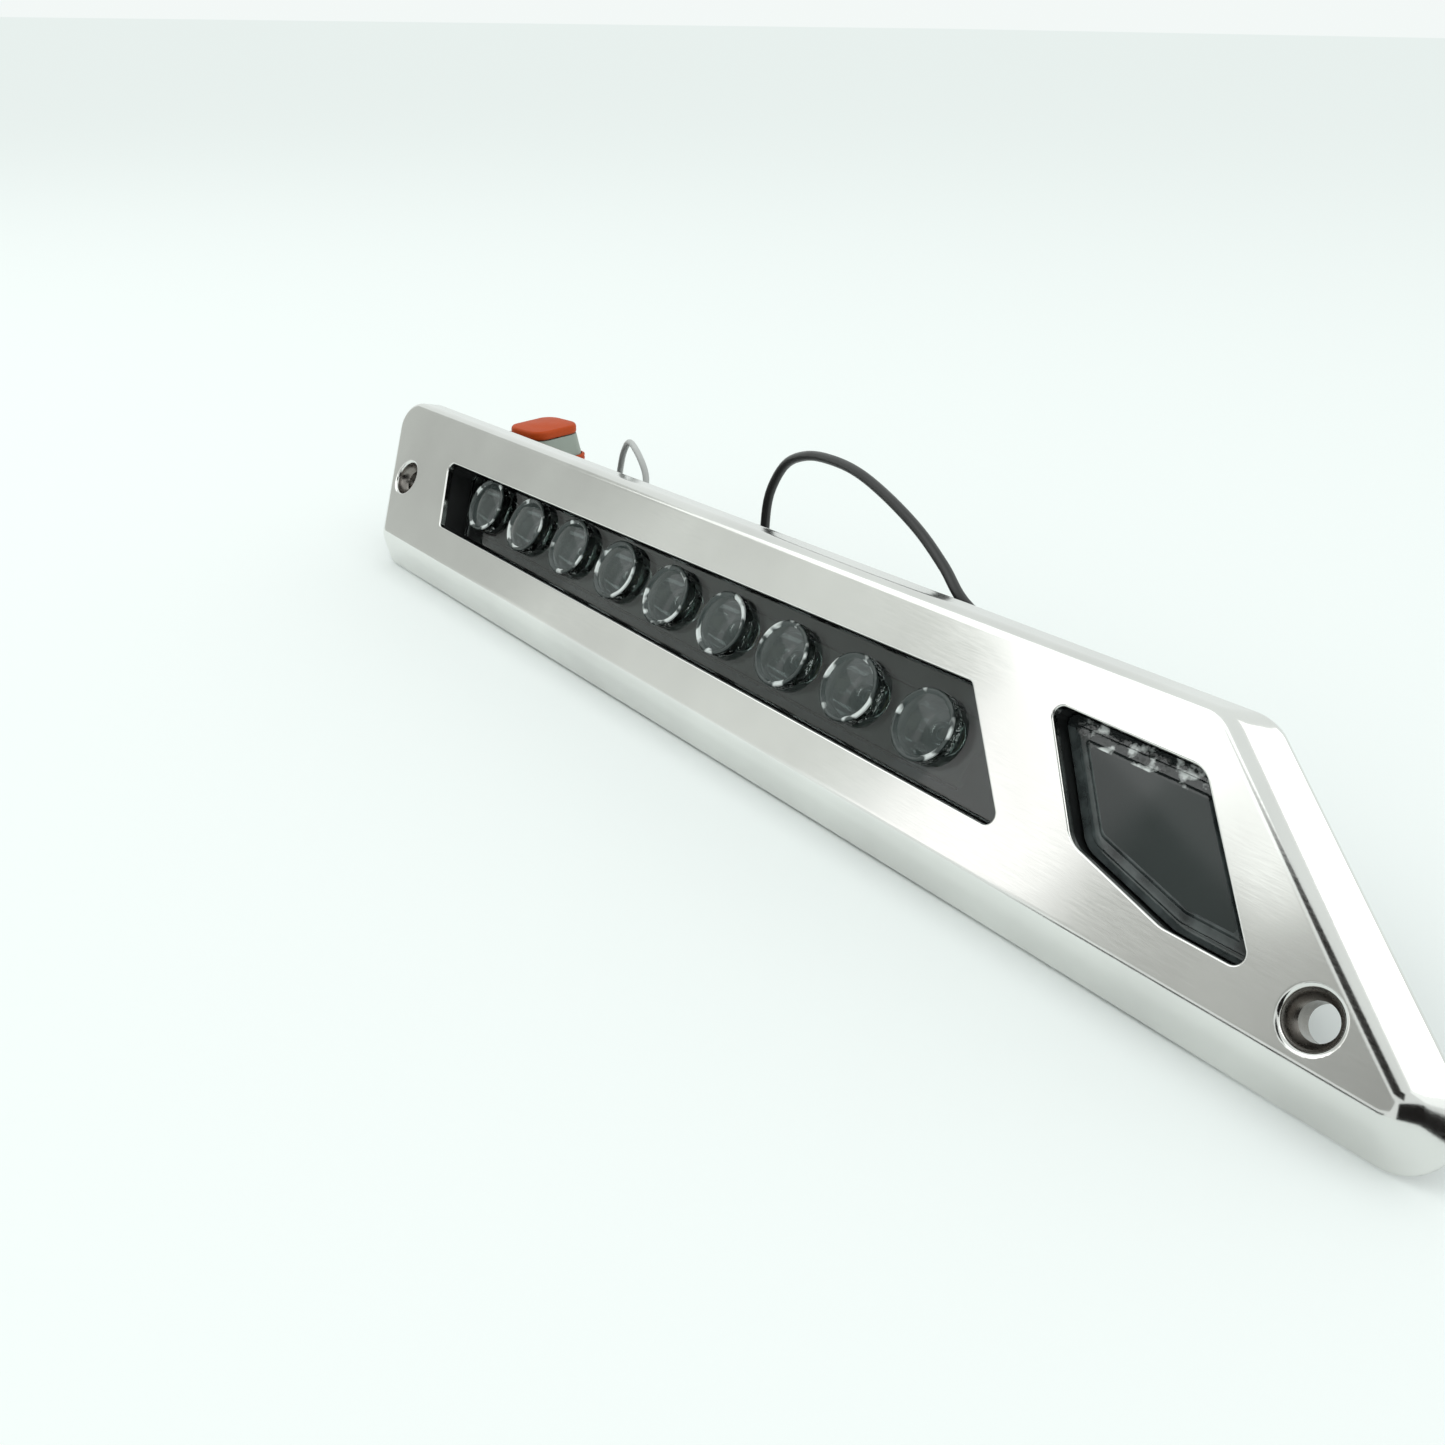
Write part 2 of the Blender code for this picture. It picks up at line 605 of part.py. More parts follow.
def make_plug(plug):
    """Sealed plug: boot, body, red interface seal, wedge lock and four contacts."""
    grey = material("plug_grey", (0.36, 0.38, 0.37), 0.45)
    red = material("seal_red", (0.75, 0.07, 0.01), 0.45)
    boot_rubber = material("boot_rubber", (0.05, 0.05, 0.05), 0.6)
    boot = [
        (outline(centred((13.4, 16.4), 4.0)), GAP),
        (outline(centred(BOOT_SIZE, 4.5)), 1.8),
        (outline(centred(BOOT_SIZE, 4.5)), 9.5),
        (outline(centred((14.2, 17.2), 4.2)), BODY_FOOT - GAP),
    ]
    boot = loft("plug_boot", boot, boot_rubber, plug)
    start = BOOT_SIZE[0] / 2
    for name, side in (("black", 1), ("grey", -1)):
        profile = [(2.2, start - 2), (2.2, start + 0.6), (1.5, start + COLLAR_REACH)]
        centre = (side * LEAD_EXIT_Y, LEAD_EXIT_Z)
        collar = turned(name + "_collar", centre, profile, boot_rubber, plug, axis="x", sides=12)
        boolean(boot, collar, "UNION")

    rings = [
        (outline(centred((15.0, 18.5), 3.8)), BODY_FOOT),
        (outline(centred(BODY_SIZE, BODY_RADIUS)), BODY_FOOT + 0.8),
        (outline(centred(BODY_SIZE, BODY_RADIUS)), BODY_TOP - 0.5),
        (outline(centred((15.2, 18.7), 3.9)), BODY_TOP),
        (outline(centred(NOSE_SIZE, 3.6)), BODY_TOP),
        (outline(centred(NOSE_SIZE, 3.6)), 25.4),
        (outline(centred(NOSE_TIP_SIZE, 3.8)), NOSE_TOP),
    ]
    body = loft("plug_body", rings, grey, plug)
    socket = prism("socket", centred((8.0, 11.0), 1.2), BODY_FOOT + 2.0, NOSE_TOP + 1, grey, plug)
    boolean(body, socket)
    x, z = LATCH_AXIS
    for name, side in (("near", -1), ("far", 1)):
        low = side * EAR_MIDDLE - EAR_THICK / 2
        corners = box_corners(x - 1.5, -BODY_SIZE[0] / 2 + 1.0, low, low + EAR_THICK, 0.3)
        boolean(body, prism(name + "_ear", corners, z - 1.9, z + 1.9, grey, plug), "UNION")
    hole = LATCH_PIN_RADIUS + GAP
    bore = turned("ear_bore", (z, x), [(hole, -7.0), (hole, 7.0)], grey, plug, axis="y", sides=16)
    boolean(body, bore)

    seal_outer = centred((15.6, 19.0), 4.2)
    seal_inner = centred((NOSE_SIZE[0] + 0.6, NOSE_SIZE[1] + 0.6), 3.9)
    band("plug_seal", seal_outer, seal_inner, BODY_TOP + GAP, BODY_TOP + 2.9, red, plug)
    stem = outline(centred((7.4, 10.4), 0.9))
    rings = [
        (stem, 22.0),
        (stem, NOSE_TOP + GAP),
        (outline(centred(NOSE_TIP_SIZE, 3.8)), NOSE_TOP + GAP),
        (outline(centred((12.6, 15.8), 3.9)), PLUG_TOP - 0.6),
        (outline(centred((11.6, 14.8), 3.6)), PLUG_TOP),
    ]
    loft("plug_wedge", rings, red, plug)
    plated = material("contact_nickel", (0.7, 0.68, 0.62), 0.25, 1.0)
    places = ((-1.9, -2.7), (1.9, -2.7), (1.9, 2.7), (-1.9, 2.7))
    for index, place in enumerate(places):
        foot = BODY_FOOT + 2.0 + GAP
        profile = [(0.8, foot), (1.1, foot + 1.0), (1.1, 20.0), (0.8, 21.6)]
        turned(f"plug_contact_{index + 1}", place, profile, plated, plug, sides=12)


def make_latch(plug):
    """Sprung latch lever that rocks on a pin across the plug's thin side."""
    grey = material("plug_grey", (0.36, 0.38, 0.37), 0.45)
    steel = material("screw_steel", (0.6, 0.6, 0.6), 0.3, 1.0)
    x, z = LATCH_AXIS
    hinge = empty("latch_hinge", plug, (x, 0.0, z))
    profile = [
        Vector((-8.6, -1.6)),
        Vector((-6.0, -0.7)),
        Vector((10.6, -0.7)),
        Vector((11.4, 0.1)),
        Vector((10.6, 1.7)),
        Vector((9.6, 1.7)),
        Vector((9.2, 0.6)),
        Vector((-6.2, 0.6)),
        Vector((-8.6, -0.2)),
    ]
    width = LATCH_HALF_WIDTH
    lever = loft("plug_latch", [(profile, -width), (profile, width)], grey, hinge, axis="y")
    ends = [(LATCH_HUB_RADIUS, -width - 0.2), (LATCH_HUB_RADIUS, width + 0.2)]
    boolean(lever, turned("latch_hub", (0.0, 0.0), ends, grey, hinge, axis="y", sides=16), "UNION")
    hole = LATCH_PIN_RADIUS + LATCH_BORE_GAP
    ends = [(hole, -width - 1), (hole, width + 1)]
    boolean(lever, turned("latch_bore", (0.0, 0.0), ends, grey, hinge, axis="y", sides=16))
    pin = [(LATCH_PIN_RADIUS, -6.3), (LATCH_PIN_RADIUS, 6.3)]
    turned("latch_pin", (0.0, 0.0), pin, steel, hinge, axis="y", sides=16)


# ---------------------------------------------------------------- leads

def spline_point(before, start, end, after, step):
    """A Catmull-Rom curve between two of its points."""
    return 0.5 * (2 * start + (end - before) * step
                  + (2 * before - 5 * start + 4 * end - after) * step ** 2
                  + (3 * start - before - 3 * end + after) * step ** 3)


def smooth_route(places, spacing):
    """Points a steady distance apart along a smooth curve through the given places."""
    points = [Vector(place) for place in places]
    ends = [2 * points[0] - points[1]] + points + [2 * points[-1] - points[-2]]
    fine = []
    for index in range(len(points) - 1):
        for step in range(24):
            fine.append(spline_point(*ends[index:index + 4], step / 24))
    fine.append(points[-1])
    run = [0.0]
    for start, end in zip(fine, fine[1:]):
        run.append(run[-1] + (end - start).length)
    count = round(run[-1] / spacing)
    route = []
    cursor = 0
    for index in range(count + 1):
        target = run[-1] * index / count
        while cursor < len(run) - 2 and run[cursor + 1] < target:
            cursor += 1
        part = (target - run[cursor]) / (run[cursor + 1] - run[cursor])
        route.append(fine[cursor].lerp(fine[cursor + 1], part))
    return route


def plug_exit(side, reach):
    """A place straight out from one of the boot's two collars, in bench coordinates."""
    across = BOOT_SIZE[0] / 2 + COLLAR_REACH + reach
    turn = Matrix.Rotation(PLUG_TURN, 2)
    place = Vector(PLUG_PLACE) + turn @ Vector((across, side * LEAD_EXIT_Y))
    return (place.x, place.y, LEAD_EXIT_Z)


def plate_place(x, y, z):
    """A place on the leaning plate, in bench coordinates."""
    across = y * math.sin(LEAN) - z * math.cos(LEAN)
    up = y * math.cos(LEAN) + z * math.sin(LEAN)
    return (x, across, up)


def make_lead(name, places, diameter, paint, bench):
    """A round jacketed lead along its route."""
    curve = bpy.data.curves.new(name, "CURVE")
    curve.dimensions = "3D"
    curve.bevel_depth = diameter / 2 * MM
    curve.bevel_resolution = 2
    curve.resolution_u = 1
    curve.use_fill_caps = True
    spline = curve.splines.new("POLY")
    route = smooth_route(places, diameter * 2.4)
    spline.points.add(len(route) - 1)
    for point, place in zip(spline.points, route):
        point.co = (*(place * MM), 1.0)
    curve.materials.append(paint)
    made = bpy.data.objects.new(name, curve)
    bpy.context.scene.collection.objects.link(made)
    made.parent = bench
    return made


def make_leads(bench):
    """The navigation lamp's black lead and the docking lamps' grey lead."""
    black = material("black_jacket", (0.02, 0.02, 0.02), 0.4)
    grey = material("grey_jacket", (0.45, 0.46, 0.45), 0.45)
    gland_end = COVER_BACK - NAV_GLAND_REACH - GAP
    black_places = [
        plate_place(NAV_GLAND[0], NAV_GLAND[1], gland_end),
        plate_place(NAV_GLAND[0], NAV_GLAND[1], gland_end - 2.5),
        (67.5, 35.6, 11.6),
        (61.0, 37.6, 14.0),
        (52.0, 37.0, 19.0),
        (43.0, 34.5, 25.0),
        (33.5, 31.4, 31.0),
        (23.7, 29.2, 36.3),
        (16.0, 31.0, 40.7),
        (5.8, 34.0, 44.4),
        (-8.2, 38.0, 47.2),
        (-20.4, 41.0, 48.5),
        (-33.1, 44.0, 47.6),
        (-41.4, 45.6, 45.7),
        (-47.6, 46.4, 42.6),
        (-51.4, 46.3, 37.7),
        (-52.8, 45.6, 32.5),
        (-52.4, 44.6, 25.0),
        (-52.2, 43.8, 16.0),
        (-54.2, 43.6, 8.0),
        (-60.0, 44.4, 2.9),
        (-68.0, 46.4, 1.4),
        (-80.0, 50.4, 1.2),
        (-94.0, 53.6, 1.2),
        (-108.0, 53.4, 1.2),
        (-120.0, 50.4, 1.6),
        plug_exit(1, 4.0),
        plug_exit(1, GAP),
    ]
    make_lead("black_lead", black_places, BLACK_DIAMETER, black, bench)
    x, y, z = DOCK_GLAND
    gland_end = y + DOCK_GLAND_REACH + GAP
    grey_places = [
        plate_place(x, gland_end, z),
        plate_place(x, gland_end + 1.8, z),
        (-79.6, 31.4, 34.6),
        (-84.0, 32.6, 38.1),
        (-90.6, 34.5, 39.6),
        (-95.6, 36.1, 36.2),
        (-99.2, 37.4, 31.2),
        (-102.6, 38.6, 24.0),
        (-105.6, 39.4, 16.0),
        (-108.6, 39.8, 8.0),
        (-112.8, 40.0, 3.2),
        (-118.0, 40.2, 1.3),
        (-123.0, 40.4, 1.6),
        plug_exit(-1, 3.0),
        plug_exit(-1, GAP),
    ]
    make_lead("grey_lead", grey_places, GREY_DIAMETER, grey, bench)


# ---------------------------------------------------------------- assembly

def centre_on_bench(bench, plate):
    """Put the light's own box, without its leads and plug, over the origin."""
    bpy.context.view_layer.update()
    graph = bpy.context.evaluated_depsgraph_get()
    corners = []
    for item in plate.children:
        if not item.hide_render:
            solid = item.evaluated_get(graph)
            corners += [solid.matrix_world @ vertex.co for vertex in solid.data.vertices]
    for axis in range(2):
        values = [corner[axis] for corner in corners]
        bench.location[axis] = -(min(values) + max(values)) / 2


def main():
    for item in list(bpy.data.objects):
        bpy.data.objects.remove(item)
    bench = empty("bench", None)
    plate = empty("plate", bench, rotation=(math.pi / 2 - LEAN, 0.0, 0.0))
    plug = empty("plug", bench, (*PLUG_PLACE, 0.0), (0.0, 0.0, PLUG_TURN))
    make_bezel(plate)
    make_housing(plate)
    make_hull_gasket(plate)
    make_dock_lens(plate)
    make_dock_inside(plate)
    make_heat_sink(plate)
    make_nav_light(plate)
    make_nav_cover(plate)
    make_glands(plate)
    make_plug(plug)
    make_latch(plug)
    make_leads(bench)
    centre_on_bench(bench, plate)


main()
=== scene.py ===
"""Looks for the flush-mount navigation light with its row of docking lamps.

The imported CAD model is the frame. Fine meshes replace the pieces whose edges and curves show,
and the rest keep their CAD shape with rounded edges and a procedural finish.

Plate coordinates are millimetres: x along the bezel's lower edge, y up the plate, z out of its
face, with z = 0 on the rim. Plug coordinates are millimetres about the plug's own axis.
"""
import math

import bmesh
import bpy
from mathutils import Matrix, Vector


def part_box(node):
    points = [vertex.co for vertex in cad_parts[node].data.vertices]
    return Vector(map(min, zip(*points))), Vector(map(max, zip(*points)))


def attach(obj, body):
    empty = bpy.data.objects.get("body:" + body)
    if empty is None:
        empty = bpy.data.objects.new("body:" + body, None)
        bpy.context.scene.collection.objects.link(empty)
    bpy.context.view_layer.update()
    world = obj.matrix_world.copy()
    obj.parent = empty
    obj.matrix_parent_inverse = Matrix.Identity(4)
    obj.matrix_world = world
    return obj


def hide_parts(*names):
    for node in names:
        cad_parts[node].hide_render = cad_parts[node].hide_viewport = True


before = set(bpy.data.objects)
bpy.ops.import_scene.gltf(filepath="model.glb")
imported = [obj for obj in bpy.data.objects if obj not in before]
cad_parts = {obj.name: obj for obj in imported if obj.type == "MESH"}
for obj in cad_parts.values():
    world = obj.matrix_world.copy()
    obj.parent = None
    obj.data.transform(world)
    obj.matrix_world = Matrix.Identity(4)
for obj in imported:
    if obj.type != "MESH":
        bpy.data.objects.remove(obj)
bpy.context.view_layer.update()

MM = 0.001

# How the light lies: it leans on the rim's lower edge and the lowest fin
FIN_LOW = 11.0
FIN_BACK = -17.6
LEAN = math.atan2(FIN_LOW, -FIN_BACK)
SINK_LEFT = -131.0
SINK_TOP = 34.6
sink_low, sink_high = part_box("heat_sink")
sink_reach = SINK_TOP * math.sin(LEAN) - FIN_BACK * math.cos(LEAN)
BENCH = Vector((sink_low.x - SINK_LEFT * MM, sink_high.y - sink_reach * MM, 0.0))
PLATE = (Matrix.Translation(BENCH) @ Matrix.Rotation(math.pi / 2 - LEAN, 4, "X")
         @ Matrix.Scale(MM, 4))
PLUG_PLACE = Vector((-141.1, 41.0, 0.0))
PLUG_TURN = math.radians(12.0)
PLUG = (Matrix.Translation(BENCH + PLUG_PLACE * MM) @ Matrix.Rotation(PLUG_TURN, 4, "Z")
        @ Matrix.Scale(MM, 4))

# Bezel
FACE = 6.5
SHEET = 1.5
HOLLOW = FACE - SHEET
CREASE = 1.9
EDGE_TOP = 0.55
FOOT_RISE = 0.9
FOOT_RUN = 0.65
FLANK_FOOT = 1.45
WINDOW_ROLL = 0.35
BOSS_RADIUS = 5.0
RIM_WIDTH = 2.2
FLANKS = (5.6, 5.0, 3.3, 4.8)
RIM_RADII = (8.0, 7.5, 9.5, 9.5)
DOCK = ((-127.0, 14.4, 1.6), (59.7, 14.4, 1.6), (41.9, 34.0, 1.6), (-135.6, 29.6, 1.6))
NAV = ((91.0, 13.8, 6.0), (105.6, 13.9, 1.6), (86.0, 36.5, 4.5), (57.3, 36.4, 1.5),
       (72.0, 18.4, 6.0))
NAV_STEP_SHARES = (1.0, 0.5, 1.0, 1.0, 1.0)
HOLES = ((-151.6, 21.2), (115.3, 12.7))
HOLE_RADIUS = 2.8
SINK_RADIUS = 4.3

# Lamps
LAMP_COUNT = 9
LAMP_PITCH = 19.1
LAMP_MIDDLE = -43.9
LAMP_Y = 24.0
LENS_BACK = -2.9
LENS_FRONT = -0.9
LENS_EDGE = 0.3
BARREL_RADIUS = 6.6
DOME_RADIUS = 5.5
DOME_FOOT = 1.12
DOME_TOP = 1.95

# Back, in plate coordinates
SINK_SCREWS = ((-128.6, 14.0), (46.8, 14.0), (46.8, 31.8), (-128.6, 31.8))
SINK_SCREW_SEAT = -14.7
NAV_SCREWS = ((97.0, 12.9), (62.5, 37.9))
NAV_SCREW_SEAT = -14.3
DOCK_GLAND = (-77.5, 34.6, -8.6)
NAV_GLAND = (70.0, 28.0, 0.0)

# Plug: width, depth and corner radius of each section, then the heights of its ribs
BODY_WIDE = (16.0, 19.5, 4.2)
BODY_GROOVE = (15.5, 19.0, 4.0)
BODY_RIBS = (13.6, 15.0, 16.4)
SEAL_RIBS = (22.05, 22.9, 23.75)
BOOT_WIDE = (14.9, 17.9, 4.4)
BOOT_GROOVE = (14.3, 17.3, 4.2)
BOOT_RIBS = (5.6, 7.0, 8.4)
SOCKET = (8.0, 11.0, 1.2)
LATCH_AXIS = (-10.3, 0.0, 18.0)
COLLAR_SIDE = 3.5
COLLAR_HEIGHT = 2.6
COLLAR_END = 10.5

ARC_STEPS = 14


# ---------------------------------------------------------------- outlines and meshes

def crossing(point_a, along_a, point_b, along_b):
    """Where two lines in the plane cross."""
    turn = along_a.x * along_b.y - along_a.y * along_b.x
    offset = point_b - point_a
    return point_a + along_a * ((offset.x * along_b.y - offset.y * along_b.x) / turn)


def inset(corners, distance, least=0.4):
    """Move the sides of an anticlockwise outline inwards, by one distance or one for each side."""
    points = [Vector(corner[:2]) for corner in corners]
    count = len(points)
    steps = list(distance) if isinstance(distance, (list, tuple)) else [distance] * count
    sides = []
    for index, point in enumerate(points):
        along = (points[(index + 1) % count] - point).normalized()
        sides.append((point + Vector((-along.y, along.x)) * steps[index], along))
    moved = []
    for index, corner in enumerate(corners):
        place = crossing(*sides[index - 1], *sides[index])
        moved.append((place.x, place.y, max(corner[2] - steps[index], least)))
    return moved


def outline(corners, steps=ARC_STEPS):
    """Points round an outline whose corners are arcs."""
    points = [Vector(corner[:2]) for corner in corners]
    count = len(points)
    ring = []
    for index, corner in enumerate(points):
        back = (points[index - 1] - corner).normalized()
        ahead = (points[(index + 1) % count] - corner).normalized()
        half = back.angle(ahead) / 2
        radius = corners[index][2]
        middle = corner + (back + ahead).normalized() * (radius / math.sin(half))
        first = corner + back * (radius / math.tan(half)) - middle
        for step in range(steps + 1):
            ring.append(middle + Matrix.Rotation((math.pi - 2 * half) * step / steps, 2) @ first)
    return ring


def centred(width, depth, radius):
    """The corners of a rounded rectangle about the origin."""
    return ((-width / 2, -depth / 2, radius), (width / 2, -depth / 2, radius),
            (width / 2, depth / 2, radius), (-width / 2, depth / 2, radius))


def circle(centre, radius, sides):
    """Points round a circle."""
    return [Vector((centre[0] + radius * math.cos(2 * math.pi * step / sides),
                    centre[1] + radius * math.sin(2 * math.pi * step / sides)))
            for step in range(sides)]


def loft(name, rings, place, paint=None, closed=False, smooth=32.0):
    """Skin a stack of equal rings, in millimetres, capped at both ends unless closed."""
    build = bmesh.new()
    stack = [[build.verts.new((point.x, point.y, height)) for point in ring]
             for ring, height in rings]
    pairs = list(zip(stack, stack[1:])) + ([(stack[-1], stack[0])] if closed else [])
    for lower, upper in pairs:
        for index in range(len(lower)):
            ahead = (index + 1) % len(lower)
            build.faces.new((lower[index], lower[ahead], upper[ahead], upper[index]))
    if not closed:
        build.faces.new(reversed(stack[0]))
        build.faces.new(stack[-1])
    bmesh.ops.recalc_face_normals(build, faces=build.faces)
    mesh = bpy.data.meshes.new(name)
    build.to_mesh(mesh)
    build.free()
    mesh.transform(place)
    mesh.shade_smooth()
    mesh.set_sharp_from_angle(angle=math.radians(smooth))
    made = bpy.data.objects.new(name, mesh)
    bpy.context.scene.collection.objects.link(made)
    if paint:
        mesh.materials.append(paint)
    return made


def turned(name, centre, profile, place, sides=64, paint=None, smooth=32.0):
    """A solid of revolution from (radius, height) pairs."""
    return loft(name, [(circle(centre, radius, sides), height) for radius, height in profile],
                place, paint, smooth=smooth)


def join_solids(target, tools, operation):
    """Cut or join with helper solids, which are then removed."""
    for tool in tools:
        step = target.modifiers.new("join", "BOOLEAN")
        step.operation = operation
        step.solver = "EXACT"
        step.object = tool
        graph = bpy.context.evaluated_depsgraph_get()
        mesh = bpy.data.meshes.new_from_object(target.evaluated_get(graph))
        target.modifiers.remove(step)
        old = target.data
        target.data = mesh
        bpy.data.meshes.remove(old)
    for tool in tools:
        bpy.data.objects.remove(tool)
    return target


def soften(piece, width, segments=3, angle=32.0):
    """Round every sharp edge a little."""
    bevel = piece.modifiers.new("edges", "BEVEL")
    bevel.width = width * MM
    bevel.segments = segments
    bevel.limit_method = "ANGLE"
    bevel.angle_limit = math.radians(angle)
    bevel.harden_normals = True
    bevel.use_clamp_overlap = True
    return piece


def stand_for(piece, nodes, body="light"):
    """The piece replaces CAD nodes, and rides on their body."""
    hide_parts(*nodes)
    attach(piece, body)
    return piece


# ---------------------------------------------------------------- materials

class Paint:
    """A Principled material with room for procedural detail."""

    def __init__(self, name, colour, roughness, metallic=0.0, **sockets):
        self.material = bpy.data.materials.new(name)
        self.material.use_nodes = True
        self.tree = self.material.node_tree
        self.shader = self.tree.nodes["Principled BSDF"]
        self.shader.inputs["Base Color"].default_value = (*colour, 1.0)
        self.shader.inputs["Roughness"].default_value = roughness
        self.shader.inputs["Metallic"].default_value = metallic
        for socket, value in sockets.items():
            self.shader.inputs[socket.replace("_", " ")].default_value = value

    def node(self, kind, **sockets):
        """A node with some inputs set."""
        made = self.tree.nodes.new(kind)
        for socket, value in sockets.items():
            made.inputs[socket.replace("_", " ")].default_value = value
        return made

    def noise(self, scale, detail=3.0, stretch=(1.0, 1.0, 1.0), kind="ShaderNodeTexNoise"):
        """Noise in metres on the object, stretched for lines."""
        place = self.tree.nodes.new("ShaderNodeTexCoord")
        mapping = self.node("ShaderNodeMapping", Scale=stretch)
        texture = self.node(kind, Scale=scale)
        if "Detail" in texture.inputs:
            texture.inputs["Detail"].default_value = detail
        self.tree.links.new(place.outputs["Object"], mapping.inputs["Vector"])
        self.tree.links.new(mapping.outputs["Vector"], texture.inputs["Vector"])
        return texture.outputs["Distance" if kind == "ShaderNodeTexVoronoi" else "Fac"]

    def spread(self, source, low, high, start=0.3, end=0.7):
        """Turn noise into a value between low and high."""
        span = self.node("ShaderNodeMapRange", From_Min=start, From_Max=end,
                         To_Min=low, To_Max=high)
        self.tree.links.new(source, span.inputs["Value"])
        return span.outputs["Result"]

    def vary_roughness(self, source, low, high):
        """Roughness follows the noise."""
        self.tree.links.new(self.spread(source, low, high), self.shader.inputs["Roughness"])

    def vary_colour(self, source, dark, light, start=0.3, end=0.7):
        """Base colour follows the noise."""
        mix = self.tree.nodes.new("ShaderNodeMix")
        mix.data_type = "RGBA"
        mix.inputs["A"].default_value = (*dark, 1.0)
        mix.inputs["B"].default_value = (*light, 1.0)
        self.tree.links.new(self.spread(source, 0.0, 1.0, start, end), mix.inputs["Factor"])
        self.tree.links.new(mix.outputs["Result"], self.shader.inputs["Base Color"])

    def bump(self, source, strength, distance):
        """Relief, chained after any earlier relief; distance in millimetres."""
        made = self.node("ShaderNodeBump", Strength=strength, Distance=distance * MM)
        self.tree.links.new(source, made.inputs["Height"])
        before = self.shader.inputs["Normal"].links
        if before:
            self.tree.links.new(before[0].from_socket, made.inputs["Normal"])
        self.tree.links.new(made.outputs["Normal"], self.shader.inputs["Normal"])


def moulded(name, dark, light, roughness, grain=900.0, depth=0.05, gloss=0.5):
    """Moulded plastic or rubber: fine grain, uneven sheen and a slight change of colour."""
    paint = Paint(name, light, roughness, Specular_IOR_Level=gloss)
    paint.vary_colour(paint.noise(60.0), dark, light)
    paint.vary_roughness(paint.noise(140.0), roughness - 0.07, roughness + 0.08)
    paint.bump(paint.noise(grain, 2.0), 0.35, depth)
    return paint.material


def metal(name, dark, light, low, high, lines, along=(1.0, 14.0, 14.0), depth=0.004):
    """Worked metal: fine lines along one way and a cloudy polish."""
    paint = Paint(name, light, low, 1.0)
    paint.vary_colour(paint.noise(35.0), dark, light)
    grain = paint.noise(lines, 4.0, along)
    paint.vary_roughness(grain, low, high)
    paint.bump(grain, 0.25, depth)
    paint.bump(paint.noise(28.0, 1.0), 0.2, 0.03)
    return paint.material


